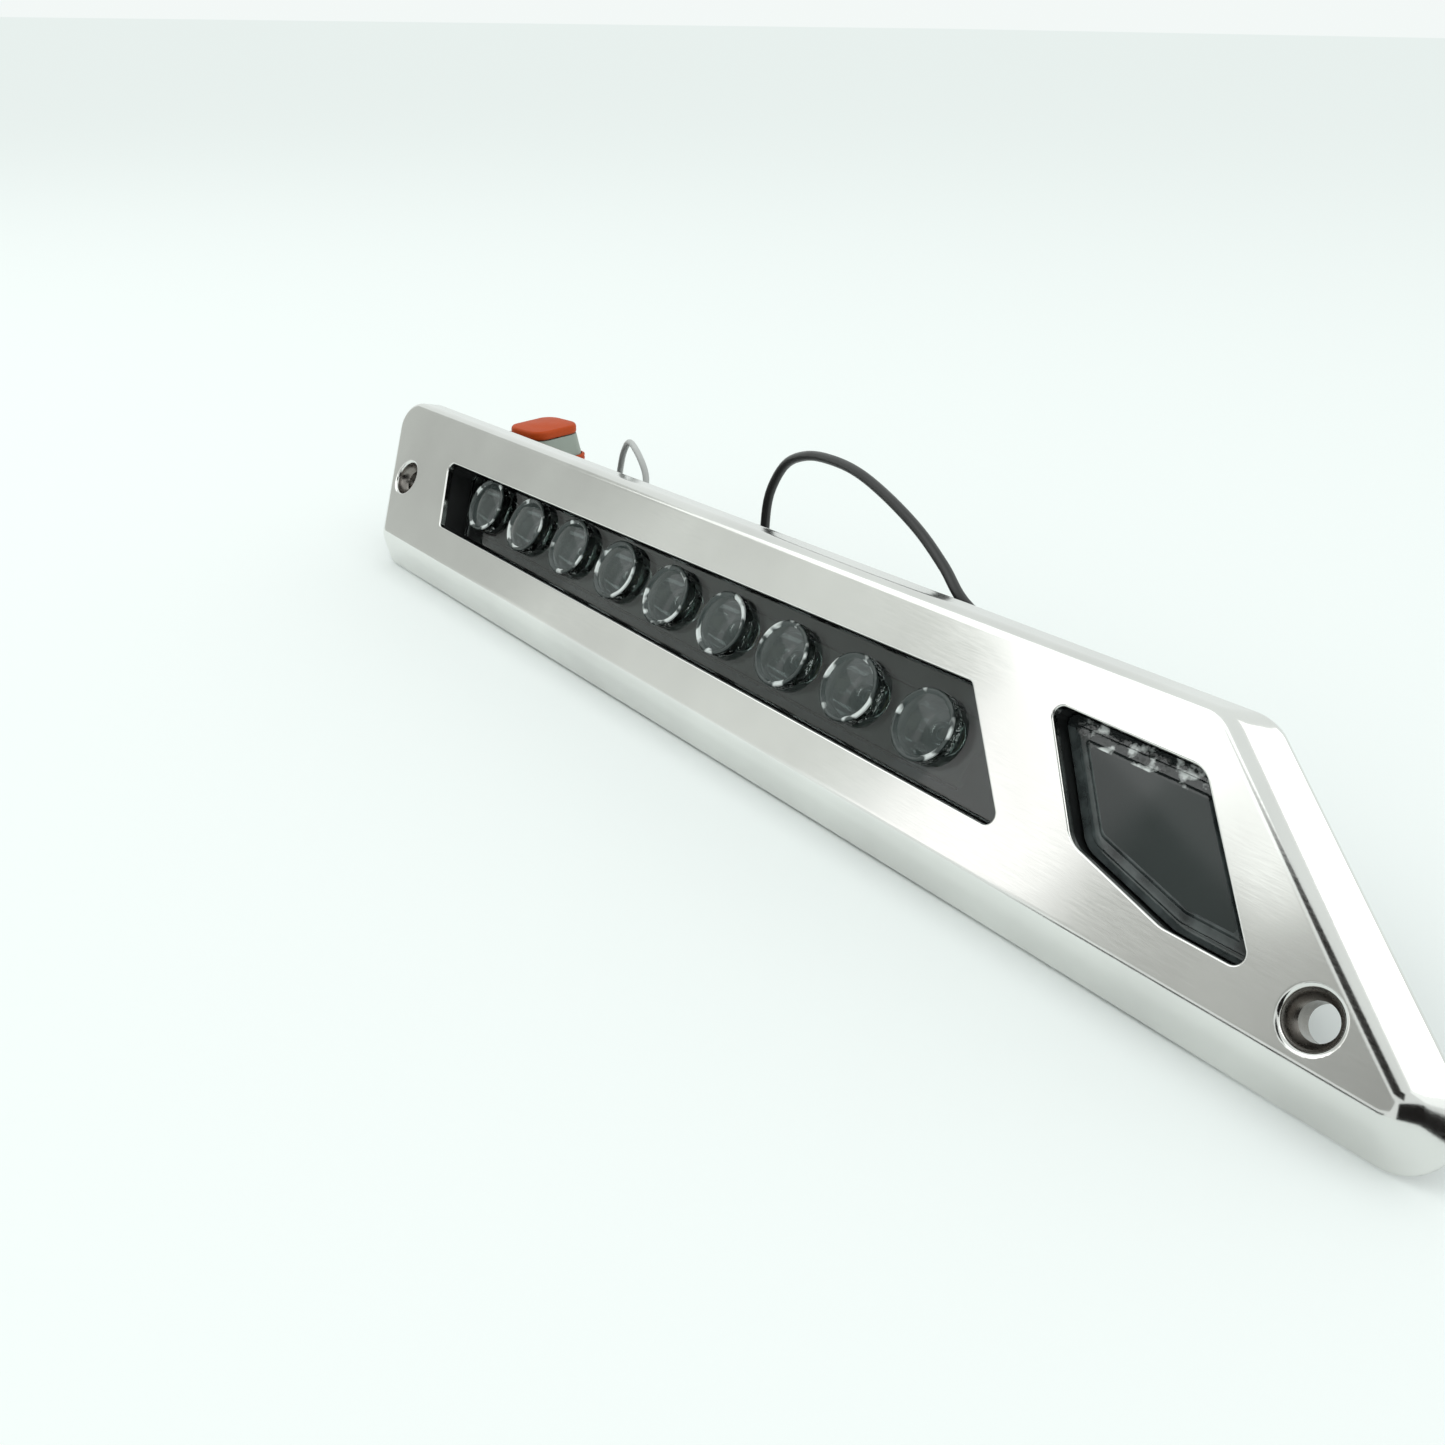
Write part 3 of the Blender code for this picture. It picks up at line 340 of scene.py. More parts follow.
def make_paints():
    """Every finish, by its slot in the record."""
    paints = {}
    paints["polished_stainless"] = metal("polished_stainless", (0.70, 0.70, 0.68),
                                         (0.80, 0.805, 0.78), 0.10, 0.16, 260.0)
    paints["screw_steel"] = metal("screw_steel", (0.5, 0.5, 0.49), (0.66, 0.66, 0.65),
                                  0.24, 0.36, 500.0, (1.0, 1.0, 1.0))
    paints["contact_plated"] = metal("contact_plated", (0.6, 0.58, 0.52), (0.74, 0.71, 0.64),
                                     0.22, 0.32, 600.0, (4.0, 4.0, 1.0))
    sink = Paint("sink_black", (0.03, 0.03, 0.032), 0.42, 0.7)
    sink.vary_colour(sink.noise(90.0), (0.022, 0.022, 0.024), (0.04, 0.04, 0.043))
    sink.vary_roughness(sink.noise(300.0, 4.0, (1.0, 12.0, 12.0)), 0.34, 0.5)
    sink.bump(sink.noise(1500.0), 0.3, 0.02)
    paints["sink_black"] = sink.material
    for slot, dark, light, rough, grain, depth in (
            ("housing_black", (0.012, 0.013, 0.013), (0.024, 0.026, 0.026), 0.46, 900.0, 0.05),
            ("foam_black", (0.018, 0.018, 0.018), (0.045, 0.045, 0.045), 0.9, 700.0, 0.16),
            ("seal_black", (0.02, 0.02, 0.02), (0.035, 0.035, 0.035), 0.62, 900.0, 0.03),
            ("chip_black", (0.015, 0.015, 0.015), (0.03, 0.03, 0.03), 0.5, 1600.0, 0.03),
            ("screen_black", (0.008, 0.008, 0.008), (0.016, 0.016, 0.016), 0.7, 1200.0, 0.04),
            ("gland_black", (0.018, 0.018, 0.018), (0.035, 0.035, 0.035), 0.55, 800.0, 0.04),
            ("plug_grey", (0.26, 0.30, 0.26), (0.33, 0.375, 0.33), 0.42, 1100.0, 0.03),
            ("jacket_black", (0.012, 0.012, 0.012), (0.028, 0.029, 0.029), 0.36, 500.0, 0.03),
            ("jacket_grey", (0.38, 0.39, 0.38), (0.5, 0.51, 0.50), 0.42, 500.0, 0.03)):
        paints[slot] = moulded(slot, dark, light, rough, grain, depth)
    paints["seal_red"] = moulded("seal_red", (0.42, 0.05, 0.008), (0.52, 0.07, 0.012), 0.5,
                                 1000.0, 0.02, 0.15)
    paints["wedge_red"] = moulded("wedge_red", (0.44, 0.055, 0.008), (0.54, 0.075, 0.012), 0.5,
                                  1300.0, 0.015, 0.15)
    paints["board_dark"] = moulded("board_dark", (0.03, 0.042, 0.038), (0.055, 0.07, 0.062),
                                   0.38, 400.0, 0.03)
    # LED phosphor colour, darkened as painted shade so the lenses look dark inside.
    lamp = Paint("led_package", (0.40, 0.38, 0.22), 0.3)
    lamp.vary_colour(lamp.noise(420.0, 2.0), (0.30, 0.26, 0.10), (0.46, 0.44, 0.30))
    lamp.bump(lamp.noise(1500.0), 0.2, 0.02)
    paints["led_package"] = lamp.material
    # Clear lens with a grey-green tint that darkens what is seen through it, as painted shade.
    clear = Paint("lens_clear", (0.60, 0.67, 0.65), 0.03, Transmission_Weight=1.0, IOR=1.5)
    clear.vary_roughness(clear.noise(120.0), 0.015, 0.05)
    clear.bump(clear.noise(160.0, 1.0), 0.2, 0.02)
    paints["lens_clear"] = clear.material
    wall = Paint("lens_wall", (0.86, 0.92, 0.90), 0.03, Transmission_Weight=1.0, IOR=1.585)
    wall.vary_roughness(wall.noise(200.0), 0.01, 0.05)
    wall.bump(wall.noise(620.0, 2.0, kind="ShaderNodeTexVoronoi"), 0.9, 0.3)
    paints["lens_wall"] = wall.material
    # Dome tops of the clear collimators: a dark base colour, painted shade for the dark seen
    # through them.
    dome = Paint("lens_dome_painted_shade", (0.12, 0.15, 0.145), 0.05, Transmission_Weight=0.65, IOR=1.45)
    dome.vary_colour(dome.noise(150.0, 1.0), (0.10, 0.125, 0.12), (0.15, 0.18, 0.175))
    dome.vary_roughness(dome.noise(120.0), 0.04, 0.08)
    paints["lens_dome_painted_shade"] = dome.material
    # Rims of the collimators: white spots in a dark base colour, painted glints.
    rim = Paint("lens_rim_painted_glints", (0.5, 0.55, 0.54), 0.10, Transmission_Weight=0.25, IOR=1.5)
    rim.vary_colour(rim.noise(240.0, 2.0), (0.06, 0.075, 0.072), (0.95, 1.0, 0.98), 0.55, 0.62)
    rim.bump(rim.noise(500.0, 2.0, kind="ShaderNodeTexVoronoi"), 0.6, 0.15)
    paints["lens_rim_painted_glints"] = rim.material
    smoked = Paint("lens_smoked", (0.018, 0.026, 0.025), 0.06, Transmission_Weight=0.2, IOR=1.5)
    smoked.vary_colour(smoked.noise(30.0, 1.0), (0.014, 0.021, 0.020), (0.024, 0.033, 0.032))
    smoked.vary_roughness(smoked.noise(90.0), 0.05, 0.09)
    paints["lens_smoked"] = smoked.material
    cut = Paint("lens_edge", (0.05, 0.06, 0.06), 0.12, Transmission_Weight=0.3, IOR=1.585)
    cut.vary_colour(cut.noise(260.0, 3.0), (0.02, 0.026, 0.026), (0.11, 0.13, 0.13))
    cut.bump(cut.noise(300.0, 2.0), 0.4, 0.06)
    paints["lens_edge"] = cut.material
    # Upper step of the nav lens: white spots in a dark base colour, painted glints.
    glint = Paint("lens_painted_glint", (0.45, 0.50, 0.49), 0.12, Transmission_Weight=0.3, IOR=1.585)
    glint.vary_colour(glint.noise(330.0, 4.0), (0.025, 0.03, 0.03), (0.92, 0.96, 0.94), 0.53, 0.63)
    glint.bump(glint.noise(420.0, 2.0, kind="ShaderNodeTexVoronoi"), 0.6, 0.2)
    paints["lens_painted_glint"] = glint.material
    paints["stainless_hole"] = metal("stainless_hole", (0.20, 0.185, 0.17), (0.34, 0.32, 0.30),
                                     0.2, 0.32, 600.0, (1.0, 1.0, 1.0), 0.01)
    return paints


PAINTS = make_paints()


def coat(piece, slots, smooth):
    """Give a piece its finishes and smooth faces, sharp only at edges over an angle."""
    piece.data.materials.clear()
    for slot in slots:
        piece.data.materials.append(PAINTS[slot])
    piece.data.shade_smooth()
    piece.data.set_sharp_from_angle(angle=math.radians(smooth))


def one_finish(piece, slot, smooth):
    """Give a cut or joined piece one finish all over."""
    coat(piece, [slot], smooth)
    for face in piece.data.polygons:
        face.material_index = 0


def finish_node(name, slot, width):
    """A CAD piece keeps its shape, with rounded edges and its finish."""
    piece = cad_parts[name]
    coat(piece, [slot], 30)
    soften(piece, width)


# ---------------------------------------------------------------- camera and leads

CAMERA_PLACE = Vector((191.87, -153.29, 129.01))
CAMERA_RIGHT = Vector((0.6026, 0.7979, 0.0138))
CAMERA_FORWARD = Vector((-0.7166, 0.5486, -0.4307))
LENS_TO_SENSOR = 1.01896
SENSOR_WIDTH = 36.0


def make_camera():
    """The photograph's viewpoint, close to the light's pointed end."""
    forward = CAMERA_FORWARD.normalized()
    right = (CAMERA_RIGHT - forward * CAMERA_RIGHT.dot(forward)).normalized()
    up = right.cross(forward)
    data = bpy.data.cameras.new("camera")
    data.sensor_width = SENSOR_WIDTH
    data.lens = SENSOR_WIDTH * LENS_TO_SENSOR
    data.clip_start = 0.01
    data.clip_end = 50.0
    camera = bpy.data.objects.new("camera", data)
    bpy.context.scene.collection.objects.link(camera)
    turn = Matrix((right, up, -forward)).transposed().to_4x4()
    camera.matrix_world = Matrix.Translation(BENCH + CAMERA_PLACE * MM) @ turn
    bpy.context.scene.camera = camera


def spline_point(before, start, end, after, step):
    """A Catmull-Rom curve between two of its points."""
    return 0.5 * (2 * start + (end - before) * step
                  + (2 * before - 5 * start + 4 * end - after) * step ** 2
                  + (3 * start - before - 3 * end + after) * step ** 3)


def smooth_route(places, spacing):
    """Points a steady distance apart along a smooth curve through the given places."""
    points = [Vector(place) for place in places]
    ends = [2 * points[0] - points[1]] + points + [2 * points[-1] - points[-2]]
    fine = []
    for index in range(len(points) - 1):
        for step in range(24):
            fine.append(spline_point(*ends[index:index + 4], step / 24))
    fine.append(points[-1])
    run = [0.0]
    for start, end in zip(fine, fine[1:]):
        run.append(run[-1] + (end - start).length)
    count = round(run[-1] / spacing)
    route = []
    cursor = 0
    for index in range(count + 1):
        target = run[-1] * index / count
        while cursor < len(run) - 2 and run[cursor + 1] < target:
            cursor += 1
        part = (target - run[cursor]) / (run[cursor + 1] - run[cursor])
        route.append(fine[cursor].lerp(fine[cursor + 1], part))
    return route, run[-1]


def plate_place(x, y, z):
    """A place on the leaning plate, in metres on the bench, before BENCH is added."""
    return (x * MM, (y * math.sin(LEAN) - z * math.cos(LEAN)) * MM,
            (y * math.cos(LEAN) + z * math.sin(LEAN)) * MM)


def plug_exit(side, reach):
    """A place straight out from one of the boot's two collars, in metres on the bench."""
    out = Vector((COLLAR_END + reach, side * COLLAR_SIDE, COLLAR_HEIGHT))
    return tuple((PLUG_PLACE + Matrix.Rotation(PLUG_TURN, 3, "Z") @ out) * MM)


BLACK_DIAMETER = 0.0021
GREY_DIAMETER = 0.0015
BLACK_ROUTE = [
    plate_place(70.0, 28.0, -18.7), plate_place(70.0, 28.0, -21.2),
    (0.0675, 0.0356, 0.0116), (0.0610, 0.0376, 0.0140), (0.0520, 0.0370, 0.0190),
    (0.0430, 0.0345, 0.0250), (0.0335, 0.0314, 0.0310), (0.0237, 0.0292, 0.0363),
    (0.0160, 0.0310, 0.0407), (0.0058, 0.0340, 0.0444), (-0.0082, 0.0380, 0.0472),
    (-0.0204, 0.0410, 0.0485), (-0.0331, 0.0440, 0.0476), (-0.0414, 0.0456, 0.0457),
    (-0.0476, 0.0464, 0.0426), (-0.0514, 0.0463, 0.0377), (-0.0528, 0.0456, 0.0325),
    (-0.0524, 0.0446, 0.0250), (-0.0522, 0.0438, 0.0160), (-0.0542, 0.0436, 0.0080),
    (-0.0600, 0.0444, 0.0029), (-0.0680, 0.0464, 0.0014), (-0.0800, 0.0504, 0.0012),
    (-0.0940, 0.0536, 0.0012), (-0.1080, 0.0534, 0.0012), (-0.1200, 0.0504, 0.0016),
    plug_exit(1, 4.0), plug_exit(1, 0.3)]
GREY_ROUTE = [
    plate_place(-77.5, 39.9, -8.6), plate_place(-77.5, 41.7, -8.6),
    (-0.0796, 0.0314, 0.0346), (-0.0840, 0.0326, 0.0381), (-0.0906, 0.0345, 0.0396),
    (-0.0956, 0.0361, 0.0362), (-0.0992, 0.0374, 0.0312), (-0.1026, 0.0386, 0.0240),
    (-0.1056, 0.0394, 0.0160), (-0.1086, 0.0398, 0.0080), (-0.1128, 0.0400, 0.0032),
    (-0.1180, 0.0402, 0.0013), (-0.1230, 0.0404, 0.0016),
    plug_exit(-1, 3.0), plug_exit(-1, 0.3)]


def make_lead(name, places, diameter, slot):
    """A round jacketed lead on its CAD route, with finer steps."""
    route, length = smooth_route(places, diameter * 0.8)
    curve = bpy.data.curves.new(name + "_jacket", "CURVE")
    curve.dimensions = "3D"
    curve.bevel_depth = diameter / 2
    curve.bevel_resolution = 6
    curve.resolution_u = 1
    curve.use_fill_caps = True
    spline = curve.splines.new("POLY")
    spline.points.add(len(route) - 1)
    for point, place in zip(spline.points, route):
        point.co = (*(place + BENCH), 1.0)
    spline.use_smooth = True
    curve.materials.append(PAINTS[slot])
    made = bpy.data.objects.new(name + "_jacket", curve)
    bpy.context.scene.collection.objects.link(made)
    stand_for(made, [name])
    return made, Vector(route[0]) + BENCH, length


# ---------------------------------------------------------------- bezel

def bezel_rings():
    """Closed section of the formed cover, from its hollow back round the rim to its face."""
    cavity = [RIM_WIDTH + (flank - 1.3) * HOLLOW / FACE for flank in FLANKS]
    rings = [(outline(inset(RIM, cavity)), HOLLOW),
             (outline(inset(RIM, RIM_WIDTH)), 0.0),
             (outline(inset(RIM, 0.15)), 0.0),
             (outline(inset(RIM, 0.04)), 0.06),
             (outline(RIM), 0.2),
             (outline(RIM), EDGE_TOP)]
    slope = [(flank - CREASE) / (FACE - CREASE - 0.8) for flank in FLANKS]
    for step in range(1, 6):
        part = step / 5
        height = EDGE_TOP + FOOT_RISE * part
        rings.append((outline(inset(RIM, [s * FOOT_RUN * part ** 2 for s in slope])), height))
    start = FACE - CREASE
    for step in range(1, 9):
        part = step / 8
        height = FLANK_FOOT + (start - FLANK_FOOT) * part
        across = [s * (FOOT_RUN + (start - FLANK_FOOT) * part) for s in slope]
        rings.append((outline(inset(RIM, across)), height))
    for step in range(1, 11):
        part = step / 10
        height = start + 2 * part * (1 - part) * CREASE + part ** 2 * CREASE
        across = [s * (FOOT_RUN + start - FLANK_FOOT) + 2 * part * (1 - part) * s * CREASE
                  + part ** 2 * (s * CREASE + CREASE) for s in slope]
        rings.append((outline(inset(RIM, across)), height))
    return rings


def rim_corners():
    """The bezel's outline where it meets the hull, anticlockwise from its lower left."""
    lower = (Vector((-153.4, 0.0)), Vector((150.3, 0.0)))
    runs = (Vector((-0.54, 1.0)), Vector((-1.292, 1.0)))
    top = (Vector((0.0, 45.4)), Vector((1.0, 0.0205)))
    places = (lower[0], lower[1], crossing(lower[1], runs[1], *top),
              crossing(lower[0], runs[0], *top))
    return [(place.x, place.y, radius) for place, radius in zip(places, RIM_RADII)]


RIM = rim_corners()


def make_bezel():
    """Formed and polished stainless cover with rolled window and screw-hole edges."""
    bezel = loft("bezel_cover", bezel_rings(), PLATE)
    boss = [(BOSS_RADIUS, 0.0), (BOSS_RADIUS, HOLLOW + SHEET / 2)]
    bosses = [turned("boss", hole, boss, PLATE, 48) for hole in HOLES]
    join_solids(bezel, bosses, "UNION")
    cuts = []
    for window in (DOCK, NAV):
        ring = [(outline(window), HOLLOW - 1.0), (outline(window), FACE - WINDOW_ROLL)]
        for step in range(1, 6):
            lean = math.pi / 2 * step / 5
            grow = WINDOW_ROLL * (1 - math.cos(lean))
            height = FACE - WINDOW_ROLL + WINDOW_ROLL * math.sin(lean)
            ring.append((outline(inset(window, -grow)), height))
        ring.append((outline(inset(window, -WINDOW_ROLL)), FACE + 1.0))
        cuts.append(loft("window", ring, PLATE))
    depth = SINK_RADIUS - HOLE_RADIUS
    for hole in HOLES:
        profile = [(HOLE_RADIUS + 0.2, -1.0), (HOLE_RADIUS + 0.2, 0.0), (HOLE_RADIUS, 0.2),
                   (HOLE_RADIUS, FACE - depth - 1.3), (SINK_RADIUS - 0.6, FACE - 2.0),
                   (SINK_RADIUS - 0.35, FACE - 1.2)]
        for step in range(0, 9):
            lean = math.pi / 2 * step / 8
            profile.append((SINK_RADIUS - 0.2 + 0.9 * (1 - math.cos(lean)),
                            FACE - 0.8 + 0.8 * math.sin(lean)))
        profile.append((SINK_RADIUS + 0.7, FACE + 1.0))
        cuts.append(turned("drill", hole, profile, PLATE, 72))
    join_solids(bezel, cuts, "DIFFERENCE")
    coat(bezel, ["polished_stainless", "stainless_hole"], 32)
    back = PLATE.inverted()
    for face in bezel.data.polygons:
        middle = back @ face.center
        reach = min((middle.xy - Vector(hole)).length for hole in HOLES)
        inside = reach < SINK_RADIUS + 0.1 and 0.1 < middle.z < FACE - 0.45
        face.material_index = 1 if inside else 0
    tidy = bezel.modifiers.new("normals", "WEIGHTED_NORMAL")
    tidy.keep_sharp = True
    stand_for(bezel, ["bezel"])


# ---------------------------------------------------------------- lenses

def make_dock_lens():
    """One clear plate with nine domed collimators, each round a pocket for its lamp. The plate has
    a darkening tint and the dome tops a dark colour, both painted shade; the rims carry painted
    glints.
    """
    plate = loft("dock_lens_clear",
                 [(outline(inset(DOCK, LENS_EDGE)), LENS_BACK),
                  (outline(DOCK), LENS_BACK + LENS_EDGE),
                  (outline(DOCK), LENS_FRONT - LENS_EDGE),
                  (outline(inset(DOCK, LENS_EDGE)), LENS_FRONT)], PLATE)
    profile = [(0.05, -4.3), (0.7, -4.4), (1.3, -4.8), (1.75, -5.5), (1.9, -7.6), (3.6, -7.6),
               (4.0, -6.4), (4.3, -5.2), (4.6, -4.0), (4.85, -2.9), (4.9, -2.2),
               (BARREL_RADIUS, -1.5), (BARREL_RADIUS, 1.1), (6.53, 1.38), (6.35, 1.5),
               (6.1, 1.54), (5.85, 1.45), (5.65, 1.2), (DOME_RADIUS, DOME_FOOT)]
    for step in range(1, 9):
        radius = DOME_RADIUS * (1 - step / 8) + 0.05
        height = DOME_TOP - (DOME_TOP - DOME_FOOT) * (radius / DOME_RADIUS) ** 2
        profile.append((radius, height))
    cells = []
    for index in range(LAMP_COUNT):
        x = LAMP_MIDDLE + LAMP_PITCH * (index - (LAMP_COUNT - 1) / 2)
        cells.append(turned("cell", (x, LAMP_Y), profile, PLATE, 56))
    row = cells.pop(0)
    join_solids(row, cells, "UNION")
    window = outline(inset(DOCK, 0.15))
    join_solids(row, [loft("trim", [(window, -9.0), (window, FACE)], PLATE)], "INTERSECT")
    join_solids(plate, [row], "UNION")
    coat(plate, ["lens_clear", "lens_wall", "lens_dome_painted_shade", "lens_rim_painted_glints"], 34)
    back = PLATE.inverted()
    first = LAMP_MIDDLE - LAMP_PITCH * (LAMP_COUNT - 1) / 2
    for face in plate.data.polygons:
        middle = back @ face.center
        lamp = min(max(round((middle.x - first) / LAMP_PITCH), 0), LAMP_COUNT - 1)
        reach = (middle.xy - Vector((first + lamp * LAMP_PITCH, LAMP_Y))).length
        on_wall = middle.z > -1.45 and DOME_RADIUS < reach < BARREL_RADIUS + 0.1
        # The rim of each cell takes the painted glints.
        on_rim = on_wall and middle.z > 0.9
        # Faces high on each cell take the dome tops' dark painted shade.
        face.material_index = 3 if on_rim else 1 if on_wall else 2 if middle.z > 1.0 else 0
    stand_for(plate, ["dock_lens"])


def make_nav_lens():
    """Smoked lens with a stepped edge round its raised pad, with painted glints on its upper step.
    """
    steps = ((0.0, -0.8), (0.0, 1.95), (0.12, 2.13), (0.3, 2.2), (1.35, 2.2), (1.5, 2.23),
             (1.62, 2.42), (1.8, 2.48), (2.7, 2.48), (2.95, 2.52), (3.25, 2.86), (3.45, 2.96),
             (3.7, 3.0))
    rings = [(outline(inset(NAV, [across * share for share in NAV_STEP_SHARES], 0.5)), height)
             for across, height in steps]
    lens = loft("nav_lens_smoked", rings, PLATE, smooth=24.0)
    for slot in ("lens_smoked", "lens_edge", "lens_painted_glint"):
        lens.data.materials.append(PAINTS[slot])
    out = (PLATE.to_3x3() @ Vector((0, 0, 1))).normalized()
    back = PLATE.inverted()
    for face in lens.data.polygons:
        middle = back @ face.center
        flat = abs(face.normal.dot(out)) > 0.995 and len(face.vertices) > 4
        # Upper step faces take the painted glints.
        upper = middle.y > 32.6 and middle.z > 2.0 and not flat
        face.material_index = 0 if flat else 2 if upper else 1
        if flat:
            face.use_smooth = False
    stand_for(lens, ["nav_lens"])


# ---------------------------------------------------------------- plug

def make_plug():
    """Sealed plug: ribbed boot, shouldered body, ribbed seal and the wedge over its front."""
    def shell(width, depth, radius):
        """One section of the plug."""
        return outline(centred(width, depth, radius), 10)

    wide, groove = shell(*BODY_WIDE), shell(*BODY_GROOVE)
    body = [(shell(15.0, 18.5, 3.8), 12.0), (shell(15.7, 19.2, 4.1), 12.3), (wide, 12.8)]
    for low in BODY_RIBS:
        body += [(wide, low), (groove, low + 0.2), (groove, low + 0.6), (wide, low + 0.8)]
    body += [(wide, 21.2), (shell(15.8, 19.3, 4.1), 21.5),
             (shell(15.2, 18.7, 3.9), 21.7), (shell(13.8, 17.2, 3.6), 21.7),
             (shell(13.8, 17.2, 3.6), 25.4), (shell(13.6, 17.0, 3.6), 25.8),
             (shell(12.6, 15.8, 3.8), 29.7), (shell(12.4, 15.6, 3.8), 30.0)]
    made = loft("plug_shell", body, PLUG, smooth=40.0)
    ears = []
    for side in (-1, 1):
        middle = side * 5.6
        corners = ((-11.8, middle - 0.8, 0.3), (-7.0, middle - 0.8, 0.3),
                   (-7.0, middle + 0.8, 0.3), (-11.8, middle + 0.8, 0.3))
        ears.append(loft("ear", [(outline(corners, 4), 16.1), (outline(corners, 4), 19.9)], PLUG))
    join_solids(made, ears, "UNION")
    hole = outline(centred(*SOCKET), 6)
    socket = loft("socket", [(hole, 14.0), (hole, 31.0)], PLUG)
    axis = PLUG @ Matrix.Translation(LATCH_AXIS) @ Matrix.Rotation(math.pi / 2, 4, "X")
    bore = turned("bore", (0.0, 0.0), [(1.05, -7.0), (1.05, 7.0)], axis, 24)
    join_solids(made, [socket, bore], "DIFFERENCE")
    one_finish(made, "plug_grey", 40)
    stand_for(made, ["plug_body"])

    wedge = [(shell(7.4, 10.4, 0.9), 22.0), (shell(7.4, 10.4, 0.9), 30.3),
             (shell(12.2, 15.4, 3.7), 30.3), (shell(12.5, 15.7, 3.8), 30.5),
             (shell(12.6, 15.8, 3.9), 30.9), (shell(12.6, 15.8, 3.9), 31.7),
             (shell(12.4, 15.6, 3.8), 32.1), (shell(12.0, 15.2, 3.7), 32.4),
             (shell(11.4, 14.6, 3.5), 32.5)]
    cap = loft("wedge_cap", wedge, PLUG, PAINTS["wedge_red"], smooth=45.0)
    stand_for(cap, ["plug_wedge"])

    seal = []
    for low in SEAL_RIBS:
        seal += [(shell(14.9, 18.3, 3.9), low), (shell(15.5, 18.9, 4.1), low + 0.2),
                 (shell(15.6, 19.0, 4.2), low + 0.4), (shell(15.5, 18.9, 4.1), low + 0.6)]
    seal += [(shell(14.4, 17.8, 3.9), 24.6), (shell(14.4, 17.8, 3.9), 22.0)]
    ring = loft("seal_ribs", seal, PLUG, PAINTS["seal_red"], closed=True, smooth=60.0)
    stand_for(ring, ["plug_seal"])

    wide, groove = shell(*BOOT_WIDE), shell(*BOOT_GROOVE)
    boot = [(shell(13.4, 16.4, 4.0), 0.3), (shell(14.4, 17.4, 4.3), 0.8),
            (shell(15.0, 18.0, 4.5), 1.8), (shell(15.0, 18.0, 4.5), 5.4)]
    for low in BOOT_RIBS:
        boot += [(groove, low), (groove, low + 0.5), (wide, low + 0.8), (wide, low + 1.2)]
    boot += [(shell(14.6, 17.6, 4.3), 10.6), (shell(14.2, 17.2, 4.2), 11.7)]
    foot = loft("boot_ribs", boot, PLUG, smooth=50.0)
    profile = [(2.2, 5.5), (2.2, 8.1), (2.0, 8.5), (2.0, 8.8), (1.9, 9.0), (1.75, 9.5),
               (1.75, 9.8), (1.6, 10.1), (1.5, COLLAR_END)]
    collars = []
    for side in (-1, 1):
        root = Matrix.Translation((0.0, side * COLLAR_SIDE, COLLAR_HEIGHT))
        turn = root @ Matrix.Rotation(math.pi / 2, 4, "Y")
        collars.append(turned("collar", (0.0, 0.0), profile, PLUG @ turn, 32))
    join_solids(foot, collars, "UNION")
    one_finish(foot, "gland_black", 50)
    stand_for(foot, ["plug_boot"])
    for index in range(1, 5):
        finish_node(f"plug_contact_{index}", "contact_plated", 0.1)
    finish_node("plug_latch", "plug_grey", 0.2)
    finish_node("latch_pin", "screw_steel", 0.15)
    return [made, cap, ring, foot]


# ---------------------------------------------------------------- back and insides

def make_screws():
    """Pan-head screws with a cross recess, in the two backs."""
    dock = [(f"sink_screw_{index}", place, SINK_SCREW_SEAT)
            for index, place in enumerate(SINK_SCREWS, 1)]
    nav = [(f"nav_screw_{index}", place, NAV_SCREW_SEAT)
           for index, place in enumerate(NAV_SCREWS, 1)]
    for name, centre, seat in dock + nav:
        profile = [(0.05, seat - 1.6), (1.0, seat - 1.57), (1.55, seat - 1.4), (1.95, seat - 1.05),
                   (2.15, seat - 0.6), (2.2, seat - 0.2), (2.12, seat), (1.1, seat), (1.1, -7.2),
                   (0.6, -6.8)]
        made = turned(name + "_pan", centre, profile, PLATE, 32)
        tools = []
        for across, along in ((0.28, 1.15), (1.15, 0.28)):
            corners = [(centre[0] - across, centre[1] - along, 0.1),
                       (centre[0] + across, centre[1] - along, 0.1),
                       (centre[0] + across, centre[1] + along, 0.1),
                       (centre[0] - across, centre[1] + along, 0.1)]
            tools.append(loft("recess", [(outline(corners, 2), seat - 2.0),
                                         (outline(corners, 2), seat - 0.75)], PLATE))
        join_solids(made, tools, "DIFFERENCE")
        one_finish(made, "screw_steel", 30)
        stand_for(made, [name])


def make_glands():
    """Ribbed rubber strain reliefs where the leads leave the light."""
    upright = Matrix.Translation(DOCK_GLAND) @ Matrix.Rotation(-math.pi / 2, 4, "X")
    profile = [(1.6, -5.4), (1.6, 0.3), (2.55, 0.3), (2.7, 0.5), (2.7, 1.4), (2.5, 1.6)]
    for low in (1.9, 2.9, 3.9):
        radius = 2.0 - 0.18 * (low - 1.9)
        profile += [(radius, low), (radius, low + 0.5), (radius - 0.3, low + 0.6),
                    (radius - 0.3, low + 0.9)]
    profile.append((1.3, 5.0))
    top = turned("dock_gland_ribs", (0.0, 0.0), profile, PLATE @ upright, 40,
                 PAINTS["gland_black"], 40.0)
    stand_for(top, ["dock_gland"])
    downward = Matrix.Translation(NAV_GLAND) @ Matrix.Rotation(math.pi, 4, "X")
    profile = [(1.6, 12.1), (1.6, 14.3), (2.55, 14.3), (2.7, 14.5), (2.7, 15.4), (2.5, 15.6)]
    for low in (15.9, 16.8, 17.6):
        radius = 2.1 - 0.2 * (low - 15.9)
        profile += [(radius, low), (radius, low + 0.4), (radius - 0.25, low + 0.5),
                    (radius - 0.25, low + 0.7)]
    profile.append((1.35, 18.4))
    bottom = turned("nav_gland_ribs", (0.0, 0.0), profile, PLATE @ downward, 40,
                    PAINTS["gland_black"], 40.0)
    stand_for(bottom, ["nav_gland"])


